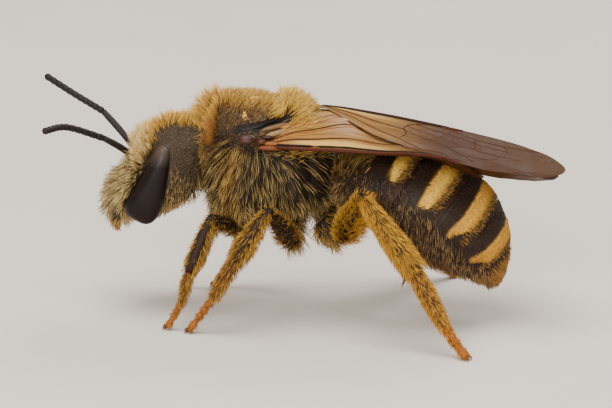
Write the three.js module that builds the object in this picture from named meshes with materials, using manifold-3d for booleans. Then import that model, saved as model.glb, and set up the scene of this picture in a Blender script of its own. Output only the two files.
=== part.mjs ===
// A great banded furrow bee, female, standing with its wings folded over its back.
// Millimetres, +Z up, the floor at z = 0. The head faces -Y and the bee's left side is +X.
// The solids reach out to the tips of the hair, and each node is one closed body.

import * as THREE from 'three';
import { mergeVertices } from 'three/addons/utils/BufferGeometryUtils.js';
import Module from 'manifold-3d';

const wasm = await Module();
wasm.setup();

// ---- driving sizes, in millimetres ----

const GAP = 0.04; // clear space between pieces that touch on the real bee
const THIN = 0.25; // half the least thickness of a leg, feeler or wing
const FEELER_TIP = 0.2;
const BLOCK = 20; // width of a block that cuts across the whole bee
const FLOOR_BLOCK = 3; // depth of the block that trims the feet level
const COVER_DEPTH = 3; // depth of the block that trims what the upper wing covers
const WING_RINGS = 15;
const HINDWING_RINGS = 10;
const HEAD_RINGS = 12;
const EYE_RINGS = 9;
const THORAX_RINGS = 12;
const ABDOMEN_RINGS = 24; // in the whole abdomen, when it is cut from what touches it

const HEAD = {
  at: [0, -4.23, 4.23],
  lean: THREE.MathUtils.degToRad(28), // how far the crown leans back
  halfWidth: 1.74,
  crown: 1.72,
  chin: 1.82,
  face: 1.3,
  nape: 1.4,
  napeTaper: 0.45, // how much the nape thins toward the chin
  roundness: 2.5,
  squareness: 0.92,
  chinTaper: 0.4,
  chinAhead: 0.2, // how far the lower head sits toward the face
};

const EYE = {
  out: 1.36,
  bulge: 0.48,
  along: -0.15, // centre, measured toward the crown
  halfLength: 1.2,
  front: 0.49, // the straight front edge, measured toward the face
  widthAtCrown: 0.48,
  widthAtChin: 1.24,
  outerRoundness: 3.2,
  edgeRoundness: 2.8,
  squareness: 0.8,
};

const JAW = {
  root: [0.8, -1.4, 0.45],
  bend: [0.66, -1.84, 0.4],
  tip: [0.2, -2.12, 0.14],
  radius: 0.24,
  taper: 0.6,
};

const FEELERS = {
  left: {
    socket: [0.36, -0.02, 0.66],
    elbow: [1.05, -5.8, 5.37],
    middle: [2, -6.84, 5.9],
    tip: [2.85, -7.46, 5.97],
  },
  right: {
    socket: [-0.36, -0.02, 0.66],
    elbow: [-1.05, -5.92, 5.65],
    middle: [-1.72, -6.78, 5.96],
    tip: [-2.62, -7.72, 6.29],
  },
};

const THORAX = {
  front: -3.34,
  back: 0.66,
  midHeight: 4.72,
  halfWidth: 2.08,
  rise: 2.24,
  drop: 2.08,
  sideRoundness: 2.6,
  topRoundness: 3.1,
  underRoundness: 2.2,
  squareness: 0.95,
  split: 0.02, // where the rear part, the propodeum, begins
};

const COLLAR = { at: [0, -2.96, 5.62], radii: [1.35, 0.62, 0.66] }; // hair between the head and the back
const PROPODEUM = { at: [0, 0.1, 4.15], radii: [1.5, 0.92, 1.35] };

const TEGULA = { at: [1.86, -1.62, 5.7], radii: [0.34, 0.48, 0.27] };

// the middle line of the abdomen from the waist to the tip, with its half width and half thickness
const ABDOMEN = {
  stations: [
    { y: 0.86, z: 3.95, wide: 0.42, thick: 0.42 },
    { y: 1.15, z: 3.97, wide: 1.15, thick: 0.9 },
    { y: 1.8, z: 3.95, wide: 1.72, thick: 1.22 },
    { y: 2.75, z: 3.75, wide: 2.02, thick: 1.47 },
    { y: 3.72, z: 3.335, wide: 2.1, thick: 1.58 },
    { y: 4.52, z: 2.76, wide: 1.92, thick: 1.62 },
    { y: 5.155, z: 2.055, wide: 1.47, thick: 1.26 },
    { y: 5.54, z: 1.43, wide: 0.88, thick: 0.68 },
    { y: 5.72, z: 1.02, wide: 0.22, thick: 0.18 },
  ],
  cuts: [0, 0.39, 0.53, 0.658, 0.795, 0.915, 1], // where one ring plate ends and the next begins
  step: 0.055,
};

// forewing outline, right side: [y, costal edge, trailing edge], both measured across from the midline
const FOREWING = {
  right: [
    [-1.3, -1.55, -1.2],
    [-0.4, -1.9, -0.75],
    [1.4, -1.98, 0.05],
    [2.3, -2.02, 0.58],
    [3.9, -2.04, 0.78],
    [5.1, -1.95, 1.18],
    [6.3, -1.48, 1.15],
    [7.2, -0.62, 0.86],
    [7.76, 0.12, 0.66],
  ],
  left: [
    [-1.3, 1.55, 1.2],
    [-0.4, 1.92, 0.75],
    [1.4, 2.02, 0.02],
    [2.3, 2.08, -0.4],
    [3.9, 2.1, -0.6],
    [5.1, 2.02, -0.3],
    [6.3, 1.72, 0.3],
    [7.2, 1.15, 0.5],
    [7.58, 0.8, 0.6],
  ],
  thickness: 0.48,
};

// height of each wing's leading edge: [y, height]
const WING_TOP = {
  right: [
    [-1.3, 5.72], [0.6, 5.86], [2.2, 5.68], [3.6, 5.45],
    [5.3, 5.17], [6.6, 5.01], [7.2, 4.96], [7.76, 4.82],
  ],
  left: [[-1.3, 5.5], [0.6, 5.53], [2.2, 5.52], [3.6, 5.52], [4.7, 5.27], [5.4, 5.1], [7.58, 4.86]],
};

// how much a wing falls for each millimetre toward its trailing edge; near its root it rises
const WING_FALL = {
  right: [
    [-1.3, -0.25], [-0.5, -0.46], [0.3, -0.3], [1.2, -0.1], [2, 0],
    [5, 0.1], [6.4, 0.12], [7.3, 0.17], [7.76, 0.1],
  ],
  left: [[-1.3, -0.3], [-0.5, -0.56], [0.3, -0.46], [1.2, -0.25], [2, -0.06], [2.8, 0], [7.58, 0]],
};

const HINDWING = {
  outline: [
    [-0.5, 1.5, 1],
    [0.6, 1.75, 0.75],
    [2.5, 1.88, 0.6],
    [4.2, 1.86, 0.62],
    [5.2, 1.7, 0.8],
    [5.75, 1.45, 1.1],
  ],
  thickness: 0.4,
};

const BELOW = -0.1; // the toes are modelled to this depth and trimmed flat at the floor

// joints of each leg from the body out: hip, trochanter end, knee, ankle, heel and toe tip
const LEGS = {
  fore_left: [
    [0.75, -1.75, 3.25], [1.05, -1.75, 2.75], [2.1, -2.6, 3.4],
    [2.3, -3.19, 1.79], [2.33, -3.38, 0.84], [2.32, -3.76, BELOW],
  ],
  mid_left: [
    [0.8, -0.35, 2.95], [1.1, -0.1, 2.35], [2.5, -0.96, 3.75],
    [2.6, -1.85, 2.27], [2.6, -2.5, 1.05], [2.6, -3.12, BELOW],
  ],
  hind_left: [
    [0.85, 0.6, 3], [1.15, 1.2, 2.55], [2.5, 1.75, 4.28],
    [3.4, 3.3, 2.42], [3.98, 4.25, 0.88], [4.36, 4.9, BELOW],
  ],
  fore_right: [
    [-0.75, -1.7, 3.25], [-1.05, -1.6, 2.75], [-1.95, -2.05, 3.25],
    [-2.15, -2.78, 1.6], [-2.2, -2.98, 0.75], [-2.2, -3.36, BELOW],
  ],
  mid_right: [
    [-0.8, -0.35, 2.95], [-1.1, -0.05, 2.35], [-2.3, -0.85, 3.45],
    [-2.45, -1.55, 2.02], [-2.45, -1.98, 0.95], [-2.42, -2.5, BELOW],
  ],
  hind_right: [
    [-0.85, 0.6, 3], [-1.15, 1.2, 2.55], [-2.4, 1.85, 4.05],
    [-3.3, 3.3, 2.25], [-3.95, 4.1, 0.98], [-4.36, 4.74, BELOW],
  ],
};

// half thickness of each leg piece, hair included, at its near end, its middle and its far end
const LEG_RADII = {
  fore: {
    hip: [0.3, 0.36, 0.28],
    femur: [0.26, 0.36, 0.27],
    tibia: [0.25, 0.31, 0.3],
    metatarsus: [0.26, 0.27, 0.25],
    toes: [THIN, THIN, THIN],
  },
  mid: {
    hip: [0.32, 0.38, 0.3],
    femur: [0.28, 0.38, 0.28],
    tibia: [0.26, 0.34, 0.34],
    metatarsus: [0.28, 0.3, 0.26],
    toes: [THIN, THIN, THIN],
  },
  hind: {
    hip: [0.34, 0.42, 0.32],
    femur: [0.34, 0.48, 0.34],
    tibia: [0.3, 0.4, 0.46],
    metatarsus: [0.34, 0.38, 0.3],
    toes: [0.28, 0.29, THIN],
  },
};
const LIMB_RINGS = { straight: 5, bent: 8 };
const END_ROUNDNESS = 1.1; // how blunt a limb's ends are for each of its thicknesses along it
const STEEP = 0.9; // a limb whose way rises more than this is measured from the front

const SIDES = { leg: 8, feeler: 8, wing: 8, trunk: 18, abdomen: 18, head: 18, eye: 12, ball: 12 };

// ---- materials ----

const finish = (color, roughness) => new THREE.MeshStandardMaterial({ color, roughness, metalness: 0 });

const materials = {
  face: () => finish(0xc9a866, 0.8),
  eye: () => finish(0x1f1614, 0.15),
  horn: () => finish(0x241a15, 0.45),
  trunk: () => finish(0xa8813f, 0.85),
  shell: () => finish(0x7a3a1c, 0.25),
  ring: () => finish(0x8c6f3a, 0.6),
  leg: () => finish(0xb0742a, 0.7),
  membrane: () => finish(0x7a4d33, 0.3),
};

// ---- shape helpers ----

const vec = (point) => new THREE.Vector3(...point);

// a closed body through rings of points, each ring having the same number of points
function loft(rings) {
  const sides = rings[0].length;
  const first = new THREE.Vector3();
  const last = new THREE.Vector3();
  rings[0].forEach((point) => first.addScaledVector(point, 1 / sides));
  rings.at(-1).forEach((point) => last.addScaledVector(point, 1 / sides));
  const points = [...rings.flat(), first, last];
  const firstIndex = rings.length * sides;
  const lastIndex = firstIndex + 1;
  const faces = [];
  for (let side = 0; side < sides; side += 1) {
    const next = (side + 1) % sides;
    for (let ring = 0; ring < rings.length - 1; ring += 1) {
      const here = ring * sides;
      const ahead = here + sides;
      faces.push(here + side, here + next, ahead + next);
      faces.push(here + side, ahead + next, ahead + side);
    }
    const end = (rings.length - 1) * sides;
    faces.push(firstIndex, next, side);
    faces.push(lastIndex, end + side, end + next);
  }
  const geometry = new THREE.BufferGeometry().setFromPoints(points);
  geometry.setIndex(faces);
  return geometry;
}

// an oval ring; over and under are its heights on the two sides of the across axis
function oval({ at, across, up, wide, over, under, squareness = 1 }, sides) {
  const points = [];
  for (let side = 0; side < sides; side += 1) {
    const angle = (2 * Math.PI * (side + 0.5)) / sides;
    const c = Math.sign(Math.cos(angle)) * Math.abs(Math.cos(angle)) ** squareness;
    const s = Math.sign(Math.sin(angle)) * Math.abs(Math.sin(angle)) ** squareness;
    const height = s > 0 ? over : under;
    points.push(at.clone().addScaledVector(across, wide * c).addScaledVector(up, height * s));
  }
  return points;
}

// the closed solid of a mesh, turned the right way out
function solid(geometry) {
  geometry.deleteAttribute('normal');
  geometry.deleteAttribute('uv');
  const merged = mergeVertices(geometry, 1e-5);
  const build = (triangles) => {
    const vertProperties = new Float32Array(merged.attributes.position.array);
    const mesh = new wasm.Mesh({ numProp: 3, vertProperties, triVerts: new Uint32Array(triangles) });
    return new wasm.Manifold(mesh);
  };
  const body = build(merged.index.array);
  return body.volume() > 0 ? body : build(Array.from(merged.index.array).reverse());
}

// falls from 1 in the middle of a run to 0 at its ends, t going from -1 to 1
const dome = (t, roundness) => (1 - Math.abs(t) ** roundness) ** (1 / roundness);

const FIRST_RING = 0.35; // how far in from a body's end its first ring lies, in steps between rings

// places from -1 to 1 for the rings of a rounded body, closer together toward its ends
function spread(count) {
  const step = Math.PI / (count - 1 + 2 * FIRST_RING);
  return Array.from({ length: count }, (_, i) => -Math.cos(step * (i + FIRST_RING)));
}

// a smooth curve through the rows of a table, whose first column is the place along it
function along(table, place, column = 1) {
  const last = table.length - 1;
  let row = 0;
  while (row < last - 1 && table[row + 1][0] < place) row += 1;
  const [from, to] = [table[row], table[row + 1]];
  const slope = (i) => {
    const [before, after] = [table[Math.max(i - 1, 0)], table[Math.min(i + 1, last)]];
    return (after[column] - before[column]) / (after[0] - before[0]);
  };
  const span = to[0] - from[0];
  const t = THREE.MathUtils.clamp((place - from[0]) / span, 0, 1);
  const rise = to[column] - from[column];
  const start = slope(row) * span;
  const end = slope(row + 1) * span;
  const square = 3 * rise - 2 * start - end;
  const cube = start + end - 2 * rise;
  return from[column] + t * start + t ** 2 * square + t ** 3 * cube;
}

function ball({ at, radii }, grow) {
  const round = new THREE.SphereGeometry(1, SIDES.ball, SIDES.ball / 2);
  round.scale(...radii.map((radius) => radius + grow));
  round.translate(...at);
  return solid(round);
}

const bee = new THREE.Group();

function addPart(name, body, material) {
  const { vertProperties, triVerts, numProp } = body.getMesh();
  const geometry = new THREE.BufferGeometry();
  const count = vertProperties.length / numProp;
  const positions = new Float32Array(count * 3);
  for (let i = 0; i < count; i += 1) {
    positions.set(vertProperties.subarray(i * numProp, i * numProp + 3), i * 3);
  }
  geometry.setAttribute('position', new THREE.BufferAttribute(positions, 3));
  geometry.setIndex(Array.from(triVerts));
  geometry.computeVertexNormals();
  const mesh = new THREE.Mesh(geometry, material());
  mesh.name = name;
  bee.add(mesh);
}

// ---- head ----

const CROWN = new THREE.Vector3(0, Math.sin(HEAD.lean), Math.cos(HEAD.lean));
const FACE = new THREE.Vector3(0, -Math.cos(HEAD.lean), Math.sin(HEAD.lean));
const ACROSS = new THREE.Vector3(1, 0, 0);
const AHEAD = new THREE.Vector3(0, 1, 0);
const UP = new THREE.Vector3(0, 0, 1);

// a point on the head, as millimetres across, toward the crown and toward the face
const onHead = ([across, crown, face]) =>
  vec(HEAD.at).addScaledVector(ACROSS, across).addScaledVector(CROWN, crown).addScaledVector(FACE, face);

function headBody(grow) {
  const rings = [];
  for (const t of spread(HEAD_RINGS)) {
    const reach = (t < 0 ? HEAD.chin : HEAD.crown) + grow;
    const full = dome(t, HEAD.roundness);
    const low = Math.max(0, -t);
    rings.push(oval({
      at: onHead([0, t * reach, HEAD.chinAhead * low]),
      across: ACROSS,
      up: FACE,
      wide: (HEAD.halfWidth + grow) * full * (1 - HEAD.chinTaper * low ** 2),
      over: (HEAD.face + grow) * full,
      under: (HEAD.nape + grow) * full * (1 - HEAD.napeTaper * low),
      squareness: HEAD.squareness,
    }, SIDES.head));
  }
  return solid(loft(rings));
}

function eyeBody(sign, grow) {
  const rings = [];
  for (const t of spread(EYE_RINGS)) {
    const width = THREE.MathUtils.lerp(EYE.widthAtChin, EYE.widthAtCrown, (t + 1) / 2);
    const half = (width / 2) * dome(t, EYE.edgeRoundness) + grow;
    rings.push(oval({
      at: onHead([sign * EYE.out, EYE.along + t * (EYE.halfLength + grow), EYE.front - width / 2]),
      across: ACROSS,
      up: FACE,
      wide: EYE.bulge * dome(t, EYE.outerRoundness) + grow,
      over: half,
      under: half,
      squareness: EYE.squareness,
    }, SIDES.eye));
  }
  return solid(loft(rings));
}

// ---- limbs: rounded rods with a half thickness at the near end, the middle and the far end ----

function rod(points, radii, sides, grow) {
  const path = points.length > 2 ? new THREE.CatmullRomCurve3(points) : new THREE.LineCurve3(...points);
  const length = path.getLength();
  const rings = [];
  for (const t of spread(points.length > 2 ? LIMB_RINGS.bent : LIMB_RINGS.straight)) {
    const u = (t + 1) / 2;
    const shares = [(1 - u) * (1 - 2 * u), 4 * u * (1 - u), u * (2 * u - 1)];
    const radius = shares.reduce((sum, share, i) => sum + share * radii[i], 0);
    const full = dome(t, 2 + (END_ROUNDNESS * length) / radii[1]);
    const way = path.getTangentAt(u);
    const across = new THREE.Vector3().crossVectors(way, Math.abs(way.z) > STEEP ? AHEAD : UP).normalize();
    rings.push(oval({
      at: path.getPointAt(u).addScaledVector(way, t * grow),
      across,
      up: new THREE.Vector3().crossVectors(across, way),
      wide: radius * full + grow,
      over: radius * full + grow,
      under: radius * full + grow,
    }, sides));
  }
  return solid(loft(rings));
}

// ---- trunk ----

function thoraxBody(grow) {
  const middle = (THORAX.front + THORAX.back) / 2;
  const half = (THORAX.back - THORAX.front) / 2 + grow;
  const rings = [];
  for (const t of spread(THORAX_RINGS)) {
    const full = dome(t, THORAX.sideRoundness);
    rings.push(oval({
      at: new THREE.Vector3(0, middle + t * half, THORAX.midHeight),
      across: ACROSS,
      up: UP,
      wide: (THORAX.halfWidth + grow) * full,
      over: (THORAX.rise + grow) * dome(t, THORAX.topRoundness),
      under: (THORAX.drop + grow) * dome(t, THORAX.underRoundness),
      squareness: THORAX.squareness,
    }, SIDES.trunk));
  }
  return solid(loft(rings)).add(ball(PROPODEUM, grow)).add(ball(COLLAR, grow));
}

// a block across the bee between two places along it
function slab(from, to) {
  const block = new THREE.BoxGeometry(BLOCK, to - from, BLOCK);
  block.translate(0, (from + to) / 2, THORAX.midHeight);
  return solid(block);
}

function tegulaBody(sign, grow) {
  const [across, back, height] = TEGULA.at;
  return ball({ at: [sign * across, back, height], radii: TEGULA.radii }, grow);
}

// ---- abdomen ----

const { stations } = ABDOMEN;
const abdomenPath = new THREE.CatmullRomCurve3(stations.map(({ y, z }) => new THREE.Vector3(0, y, z)));
const abdomenRows = stations.map(({ wide, thick }, i) => [i / (stations.length - 1), wide, thick]);

function abdomenBody(from, to, steps, grow) {
  const rings = [];
  for (let i = 0; i <= steps; i += 1) {
    const u = from + ((to - from) * i) / steps;
    const way = abdomenPath.getTangent(u);
    const thick = along(abdomenRows, u, 2) + grow;
    rings.push(oval({
      at: abdomenPath.getPoint(u),
      across: ACROSS,
      up: new THREE.Vector3().crossVectors(ACROSS, way),
      wide: along(abdomenRows, u, 1) + grow,
      over: thick,
      under: thick,
    }, SIDES.abdomen));
  }
  return solid(loft(rings));
}

// ---- wings ----

function wingBody(outline, top, fall, thickness, count, grow) {
  const first = outline[0][0] - grow;
  const last = outline.at(-1)[0] + grow;
  const rings = [];
  for (let i = 0; i < count; i += 1) {
    const y = THREE.MathUtils.lerp(first, last, i / (count - 1));
    const costal = along(outline, y, 1);
    const trailing = along(outline, y, 2);
    const slope = along(fall, y) * Math.sign(costal - trailing);
    const flat = new THREE.Vector3(1, 0, slope).normalize();
    const middle = (costal + trailing) / 2;
    const height = along(top, y) + slope * (middle - costal) - thickness / 2;
    rings.push(oval({
      at: new THREE.Vector3(middle, y, height),
      across: flat,
      up: UP,
      wide: Math.abs(costal - trailing) / 2 + grow,
      over: thickness / 2 + grow,
      under: thickness / 2 + grow,
      squareness: 0.5,
    }, SIDES.wing));
  }
  return solid(loft(rings));
}

const mirrored = (outline) => outline.map(([y, costal, trailing]) => [y, -costal, -trailing]);
const lowered = (table, by) => table.map(([y, z]) => [y, z - by]);

// ---- putting the bee together ----

const signs = { left: 1, right: -1 };
const sideNames = Object.keys(signs);

function buildHead() {
  let head = headBody(0);
  for (const side of sideNames) {
    head = head.subtract(eyeBody(signs[side], GAP));
    addPart(`eye_${side}`, eyeBody(signs[side], 0), materials.eye);
    buildFeeler(side);
    head = head.subtract(jawBody(side, GAP));
  }
  addPart('head', head, materials.face);
  addPart('mandible_right', jawBody('right', 0), materials.horn);
  addPart('mandible_left', jawBody('left', 0).subtract(jawBody('right', GAP)), materials.horn);
}

function jawBody(side, grow) {
  const place = ([across, crown, face]) => onHead([signs[side] * across, crown, face]);
  const radii = [JAW.radius, JAW.radius, JAW.radius * JAW.taper];
  return rod([place(JAW.root), place(JAW.bend), place(JAW.tip)], radii, SIDES.feeler, grow);
}

function buildFeeler(side) {
  const { socket, elbow, middle, tip } = FEELERS[side];
  const scape = (grow) => rod([onHead(socket), vec(elbow)], [THIN, THIN, THIN], SIDES.feeler, grow);
  const lash = rod([vec(elbow), vec(middle), vec(tip)], [THIN, THIN, FEELER_TIP], SIDES.feeler, 0);
  addPart(`antenna_${side}_scape`, scape(0).subtract(headBody(GAP)), materials.horn);
  addPart(`antenna_${side}_flagellum`, lash.subtract(scape(GAP)), materials.horn);
}

function buildTrunk() {
  let trunk = thoraxBody(0).subtract(headBody(GAP));
  for (const side of sideNames) {
    trunk = trunk.subtract(tegulaBody(signs[side], GAP));
    addPart(`tegula_${side}`, tegulaBody(signs[side], 0), materials.shell);
  }
  addPart('thorax', trunk.intersect(slab(-BLOCK / 2, THORAX.split)), materials.trunk);
  addPart('propodeum', trunk.intersect(slab(THORAX.split + GAP, BLOCK / 2)), materials.trunk);
}

function buildAbdomen() {
  const { cuts } = ABDOMEN;
  const keep = GAP / 2 / abdomenPath.getLength();
  for (let i = 0; i < cuts.length - 1; i += 1) {
    const from = cuts[i] + (i ? keep : 0);
    const to = cuts[i + 1] - (i < cuts.length - 2 ? keep : 0);
    const steps = Math.ceil((to - from) / ABDOMEN.step);
    const ring = abdomenBody(from, to, steps, 0).subtract(thoraxBody(GAP));
    addPart(`abdomen_${i + 1}`, ring, materials.ring);
  }
}

function buildWings() {
  const body = thoraxBody(GAP).add(abdomenBody(0, 1, ABDOMEN_RINGS, GAP));
  const obstacles = body.add(tegulaBody(1, GAP)).add(tegulaBody(-1, GAP));
  const { thickness } = FOREWING;
  const plate = (side, grow, depth) => {
    const top = lowered(WING_TOP[side], (thickness - depth) / 2);
    return wingBody(FOREWING[side], top, WING_FALL[side], depth, WING_RINGS, grow);
  };
  // the right wing lies over the left one, and what it covers is left out of the solids
  const cover = plate('right', GAP, COVER_DEPTH);
  const [right, left] = ['right', 'left'].map((side) => plate(side, 0, thickness).subtract(obstacles));
  addPart('forewing_right', right, materials.membrane);
  addPart('forewing_left', left.subtract(cover), materials.membrane);
  for (const side of sideNames) {
    const outline = side === 'left' ? HINDWING.outline : mirrored(HINDWING.outline);
    const top = lowered(WING_TOP[side], thickness + GAP);
    const whole = wingBody(outline, top, WING_FALL[side], HINDWING.thickness, HINDWING_RINGS, 0);
    const clear = whole.subtract(obstacles);
    addPart(`hindwing_${side}`, side === 'left' ? clear.subtract(cover) : clear, materials.membrane);
  }
}

function buildLegs() {
  const trunk = thoraxBody(GAP).add(abdomenBody(0, 1, ABDOMEN_RINGS, GAP));
  const floor = new THREE.BoxGeometry(BLOCK, BLOCK, FLOOR_BLOCK);
  floor.translate(0, 0, -FLOOR_BLOCK / 2);
  const below = solid(floor);
  for (const [name, joints] of Object.entries(LEGS)) {
    const radii = LEG_RADII[name.split('_')[0]];
    const pieces = Object.keys(radii);
    const points = joints.map(vec);
    let inner = trunk;
    pieces.forEach((piece, i) => {
      const ends = [points[i], points[i + 1]];
      const body = rod(ends, radii[piece], SIDES.leg, 0).subtract(inner).subtract(below);
      addPart(`leg_${name}_${piece}`, body, materials.leg);
      inner = rod(ends, radii[piece], SIDES.leg, GAP).add(trunk);
    });
  }
}

buildHead();
buildTrunk();
buildAbdomen();
buildWings();
buildLegs();

export default bee;
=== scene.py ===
"""A female great banded furrow bee, life size, standing with its wings folded over its back.

Shapes are worked out in millimetres in the frame of the solids: the head faces -Y, the bee's left
side is +X and the floor is at z = 0. Each mesh is turned to metres when it is made.
"""

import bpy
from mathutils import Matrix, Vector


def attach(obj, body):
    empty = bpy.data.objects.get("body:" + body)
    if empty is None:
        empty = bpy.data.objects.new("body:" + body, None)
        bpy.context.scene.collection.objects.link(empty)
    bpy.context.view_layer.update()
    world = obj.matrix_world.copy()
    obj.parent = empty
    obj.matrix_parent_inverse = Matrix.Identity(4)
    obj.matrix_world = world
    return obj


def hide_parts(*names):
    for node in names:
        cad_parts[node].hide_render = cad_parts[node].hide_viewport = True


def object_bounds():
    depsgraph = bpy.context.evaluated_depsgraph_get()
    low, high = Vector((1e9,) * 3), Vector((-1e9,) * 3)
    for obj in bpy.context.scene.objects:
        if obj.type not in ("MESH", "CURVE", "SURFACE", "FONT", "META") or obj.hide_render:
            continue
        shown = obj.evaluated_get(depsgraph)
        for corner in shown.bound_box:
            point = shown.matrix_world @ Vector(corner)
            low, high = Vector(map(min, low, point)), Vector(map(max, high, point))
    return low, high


bl_info = {
    "name": "Furrow Bee",
    "version": (1, 0, 0),
    "blender": (4, 5, 0),
    "location": "3D View > Sidebar > Bee",
    "description": "Builds a life-size furrow bee with its coat, wings and studio stage",
    "category": "Add Mesh",
}

import math
from types import SimpleNamespace

import bpy
import numpy as np
from bpy.props import FloatProperty, FloatVectorProperty, IntProperty, PointerProperty
from mathutils import Quaternion, Vector
from mathutils.kdtree import KDTree

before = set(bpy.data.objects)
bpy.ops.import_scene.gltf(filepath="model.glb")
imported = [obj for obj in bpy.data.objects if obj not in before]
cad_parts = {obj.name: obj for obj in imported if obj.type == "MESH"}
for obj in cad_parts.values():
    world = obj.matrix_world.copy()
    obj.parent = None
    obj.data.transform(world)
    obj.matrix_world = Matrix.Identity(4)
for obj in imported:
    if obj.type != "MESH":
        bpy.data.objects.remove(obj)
CAD_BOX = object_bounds()
MM = 0.001
BODY = "root"
SIDES = {"left": 1, "right": -1}


# ---- small sums ----


def linear(code):
    """The linear colour of an sRGB hex value."""
    parts = [int(code[i : i + 2], 16) / 255 for i in (1, 3, 5)]
    return tuple(p / 12.92 if p <= 0.04045 else ((p + 0.055) / 1.055) ** 2.4 for p in parts)


def unit(vectors):
    """Vectors made one long."""
    vectors = np.asarray(vectors, float)
    return vectors / np.maximum(np.linalg.norm(vectors, axis=-1, keepdims=True), 1e-9)


def ease(low, high, x):
    """Rises smoothly from 0 at low to 1 at high."""
    t = np.clip((np.asarray(x, float) - low) / (high - low), 0, 1)
    return t * t * (3 - 2 * t)


def dome(t, roundness):
    """Falls from 1 in the middle of a run to 0 at its ends, t going from -1 to 1."""
    return np.maximum(1 - np.abs(t) ** roundness, 0) ** (1 / roundness)


def mix(a, b, share):
    """A blend of two rows or tables, share 0 giving a and 1 giving b."""
    share = np.asarray(share, float)[..., None]
    return np.asarray(a, float) * (1 - share) + np.asarray(b, float) * share


def smooth(table, place):
    """A smooth curve through the rows of a table, whose first column is the place along it."""
    table = np.asarray(table, float)
    at, rows = table[:, 0], table[:, 1:]
    slopes = np.empty_like(rows)
    slopes[1:-1] = (rows[2:] - rows[:-2]) / (at[2:] - at[:-2])[:, None]
    slopes[0] = (rows[1] - rows[0]) / (at[1] - at[0])
    slopes[-1] = (rows[-1] - rows[-2]) / (at[-1] - at[-2])
    place = np.clip(np.atleast_1d(place), at[0], at[-1])
    row = np.clip(np.searchsorted(at, place, side="right") - 1, 0, len(at) - 2)
    span = (at[row + 1] - at[row])[:, None]
    t = (place - at[row])[:, None] / span
    start, end = slopes[row] * span, slopes[row + 1] * span
    rise = rows[row + 1] - rows[row]
    return rows[row] + t * start + t**2 * (3 * rise - 2 * start - end) + t**3 * (start + end - 2 * rise)


def evenly(rows):
    """A table of rows with their even places from 0 to 1 ahead of them."""
    return np.column_stack([np.linspace(0, 1, len(rows)), rows])


def to_left(at):
    """Places brought over to the bee's left side."""
    return np.column_stack([np.abs(at[:, 0]), at[:, 1:]])


def ring(v, squareness=1.0):
    """The two arms of a circle, v going once round it, made squarer as squareness falls below 1."""
    c, s = np.cos(2 * math.pi * v), np.sin(2 * math.pi * v)
    return np.sign(c) * np.abs(c) ** squareness, np.sign(s) * np.abs(s) ** squareness


# ---- meshes ----


def mesh_of(name, points, quads=(), triangles=()):
    """A mesh from points in millimetres."""
    quads = np.asarray(quads, np.int32).reshape(-1, 4)
    triangles = np.asarray(triangles, np.int32).reshape(-1, 3)
    mesh = bpy.data.meshes.new(name)
    mesh.vertices.add(len(points))
    mesh.vertices.foreach_set("co", (np.asarray(points) * MM).astype(np.float32).ravel())
    corners = np.concatenate([quads.ravel(), triangles.ravel()])
    starts = np.concatenate([np.arange(len(quads)) * 4, len(quads) * 4 + np.arange(len(triangles)) * 3])
    mesh.loops.add(len(corners))
    mesh.loops.foreach_set("vertex_index", corners)
    mesh.polygons.add(len(starts))
    mesh.polygons.foreach_set("loop_start", starts.astype(np.int32))
    mesh.update(calc_edges=True)
    mesh.shade_smooth()
    return mesh


def shell(surface, rows, sides, ends=0.002):
    """A closed tube of a surface with u along it and v round it: its points, quads and triangles."""
    u, v = np.meshgrid(np.linspace(ends, 1 - ends, rows), np.arange(sides) / sides, indexing="ij")
    points = surface(u.ravel(), v.ravel())
    row, side = np.meshgrid(np.arange(rows - 1), np.arange(sides), indexing="ij")
    here = (row * sides + side).ravel()
    beside = (row * sides + (side + 1) % sides).ravel()
    quads = np.column_stack([here, beside, beside + sides, here + sides])
    caps = np.array([points[:sides].mean(0), points[-sides:].mean(0)])
    first = np.arange(sides)
    last = first + (rows - 1) * sides
    triangles = np.concatenate([
        np.column_stack([np.full(sides, len(points)), np.roll(first, -1), first]),
        np.column_stack([np.full(sides, len(points) + 1), last, np.roll(last, -1)]),
    ])
    return np.concatenate([points, caps]), quads, triangles


def joined(shells):
    """Several shells as one, with the number of the shell that each point came from."""
    points, quads, triangles, owners, base = [], [], [], [], 0
    for number, (p, q, t) in enumerate(shells):
        points.append(p)
        quads.append(q + base)
        triangles.append(t + base)
        owners.append(np.full(len(p), number))
        base += len(p)
    return [np.concatenate(x) for x in (points, quads, triangles, owners)]


def ball(at, radii, axes=None):
    """A rounded lump on its own axes, as a surface."""
    axes = np.eye(3) if axes is None else np.asarray(axes)

    def surface(u, v):
        c, s = ring(v)
        out = np.sin(math.pi * u)
        local = np.column_stack([radii[0] * out * c, radii[1] * out * s, -radii[2] * np.cos(math.pi * u)])
        return np.asarray(at) + local @ axes

    return surface


def rod(points, radii, flat=1.0, sag=0.0):
    """A rounded limb through points, with its half thickness at even steps along it, as a surface."""
    path, sizes = evenly(np.asarray(points, float)), evenly(radii)

    def surface(u, v):
        way = unit(smooth(path, np.minimum(u + 0.02, 1)) - smooth(path, np.maximum(u - 0.02, 0)))
        ahead = np.array([0.0, -1.0, 0.0])
        across = unit(ahead - way * (way @ ahead)[:, None])
        up = np.cross(across, way)
        c, s = ring(v)
        radius = smooth(sizes, u)[:, 0]
        middle = smooth(path, u)
        middle[:, 2] += sag * np.sin(math.pi * u)
        return middle + across * (radius * c)[:, None] + up * (flat * radius * s)[:, None]

    return surface


def alone():
    """Deselects everything, so that an operator acts only on what comes next."""
    if bpy.context.object and bpy.context.object.mode != "OBJECT":
        bpy.ops.object.mode_set(mode="OBJECT")
    bpy.ops.object.select_all(action="DESELECT")


def picked(*pieces):
    """Makes some pieces the only ones selected, the first of them active."""
    alone()
    bpy.context.view_layer.objects.active = pieces[0]
    for piece in pieces:
        piece.select_set(True)
    return pieces[0]


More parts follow.
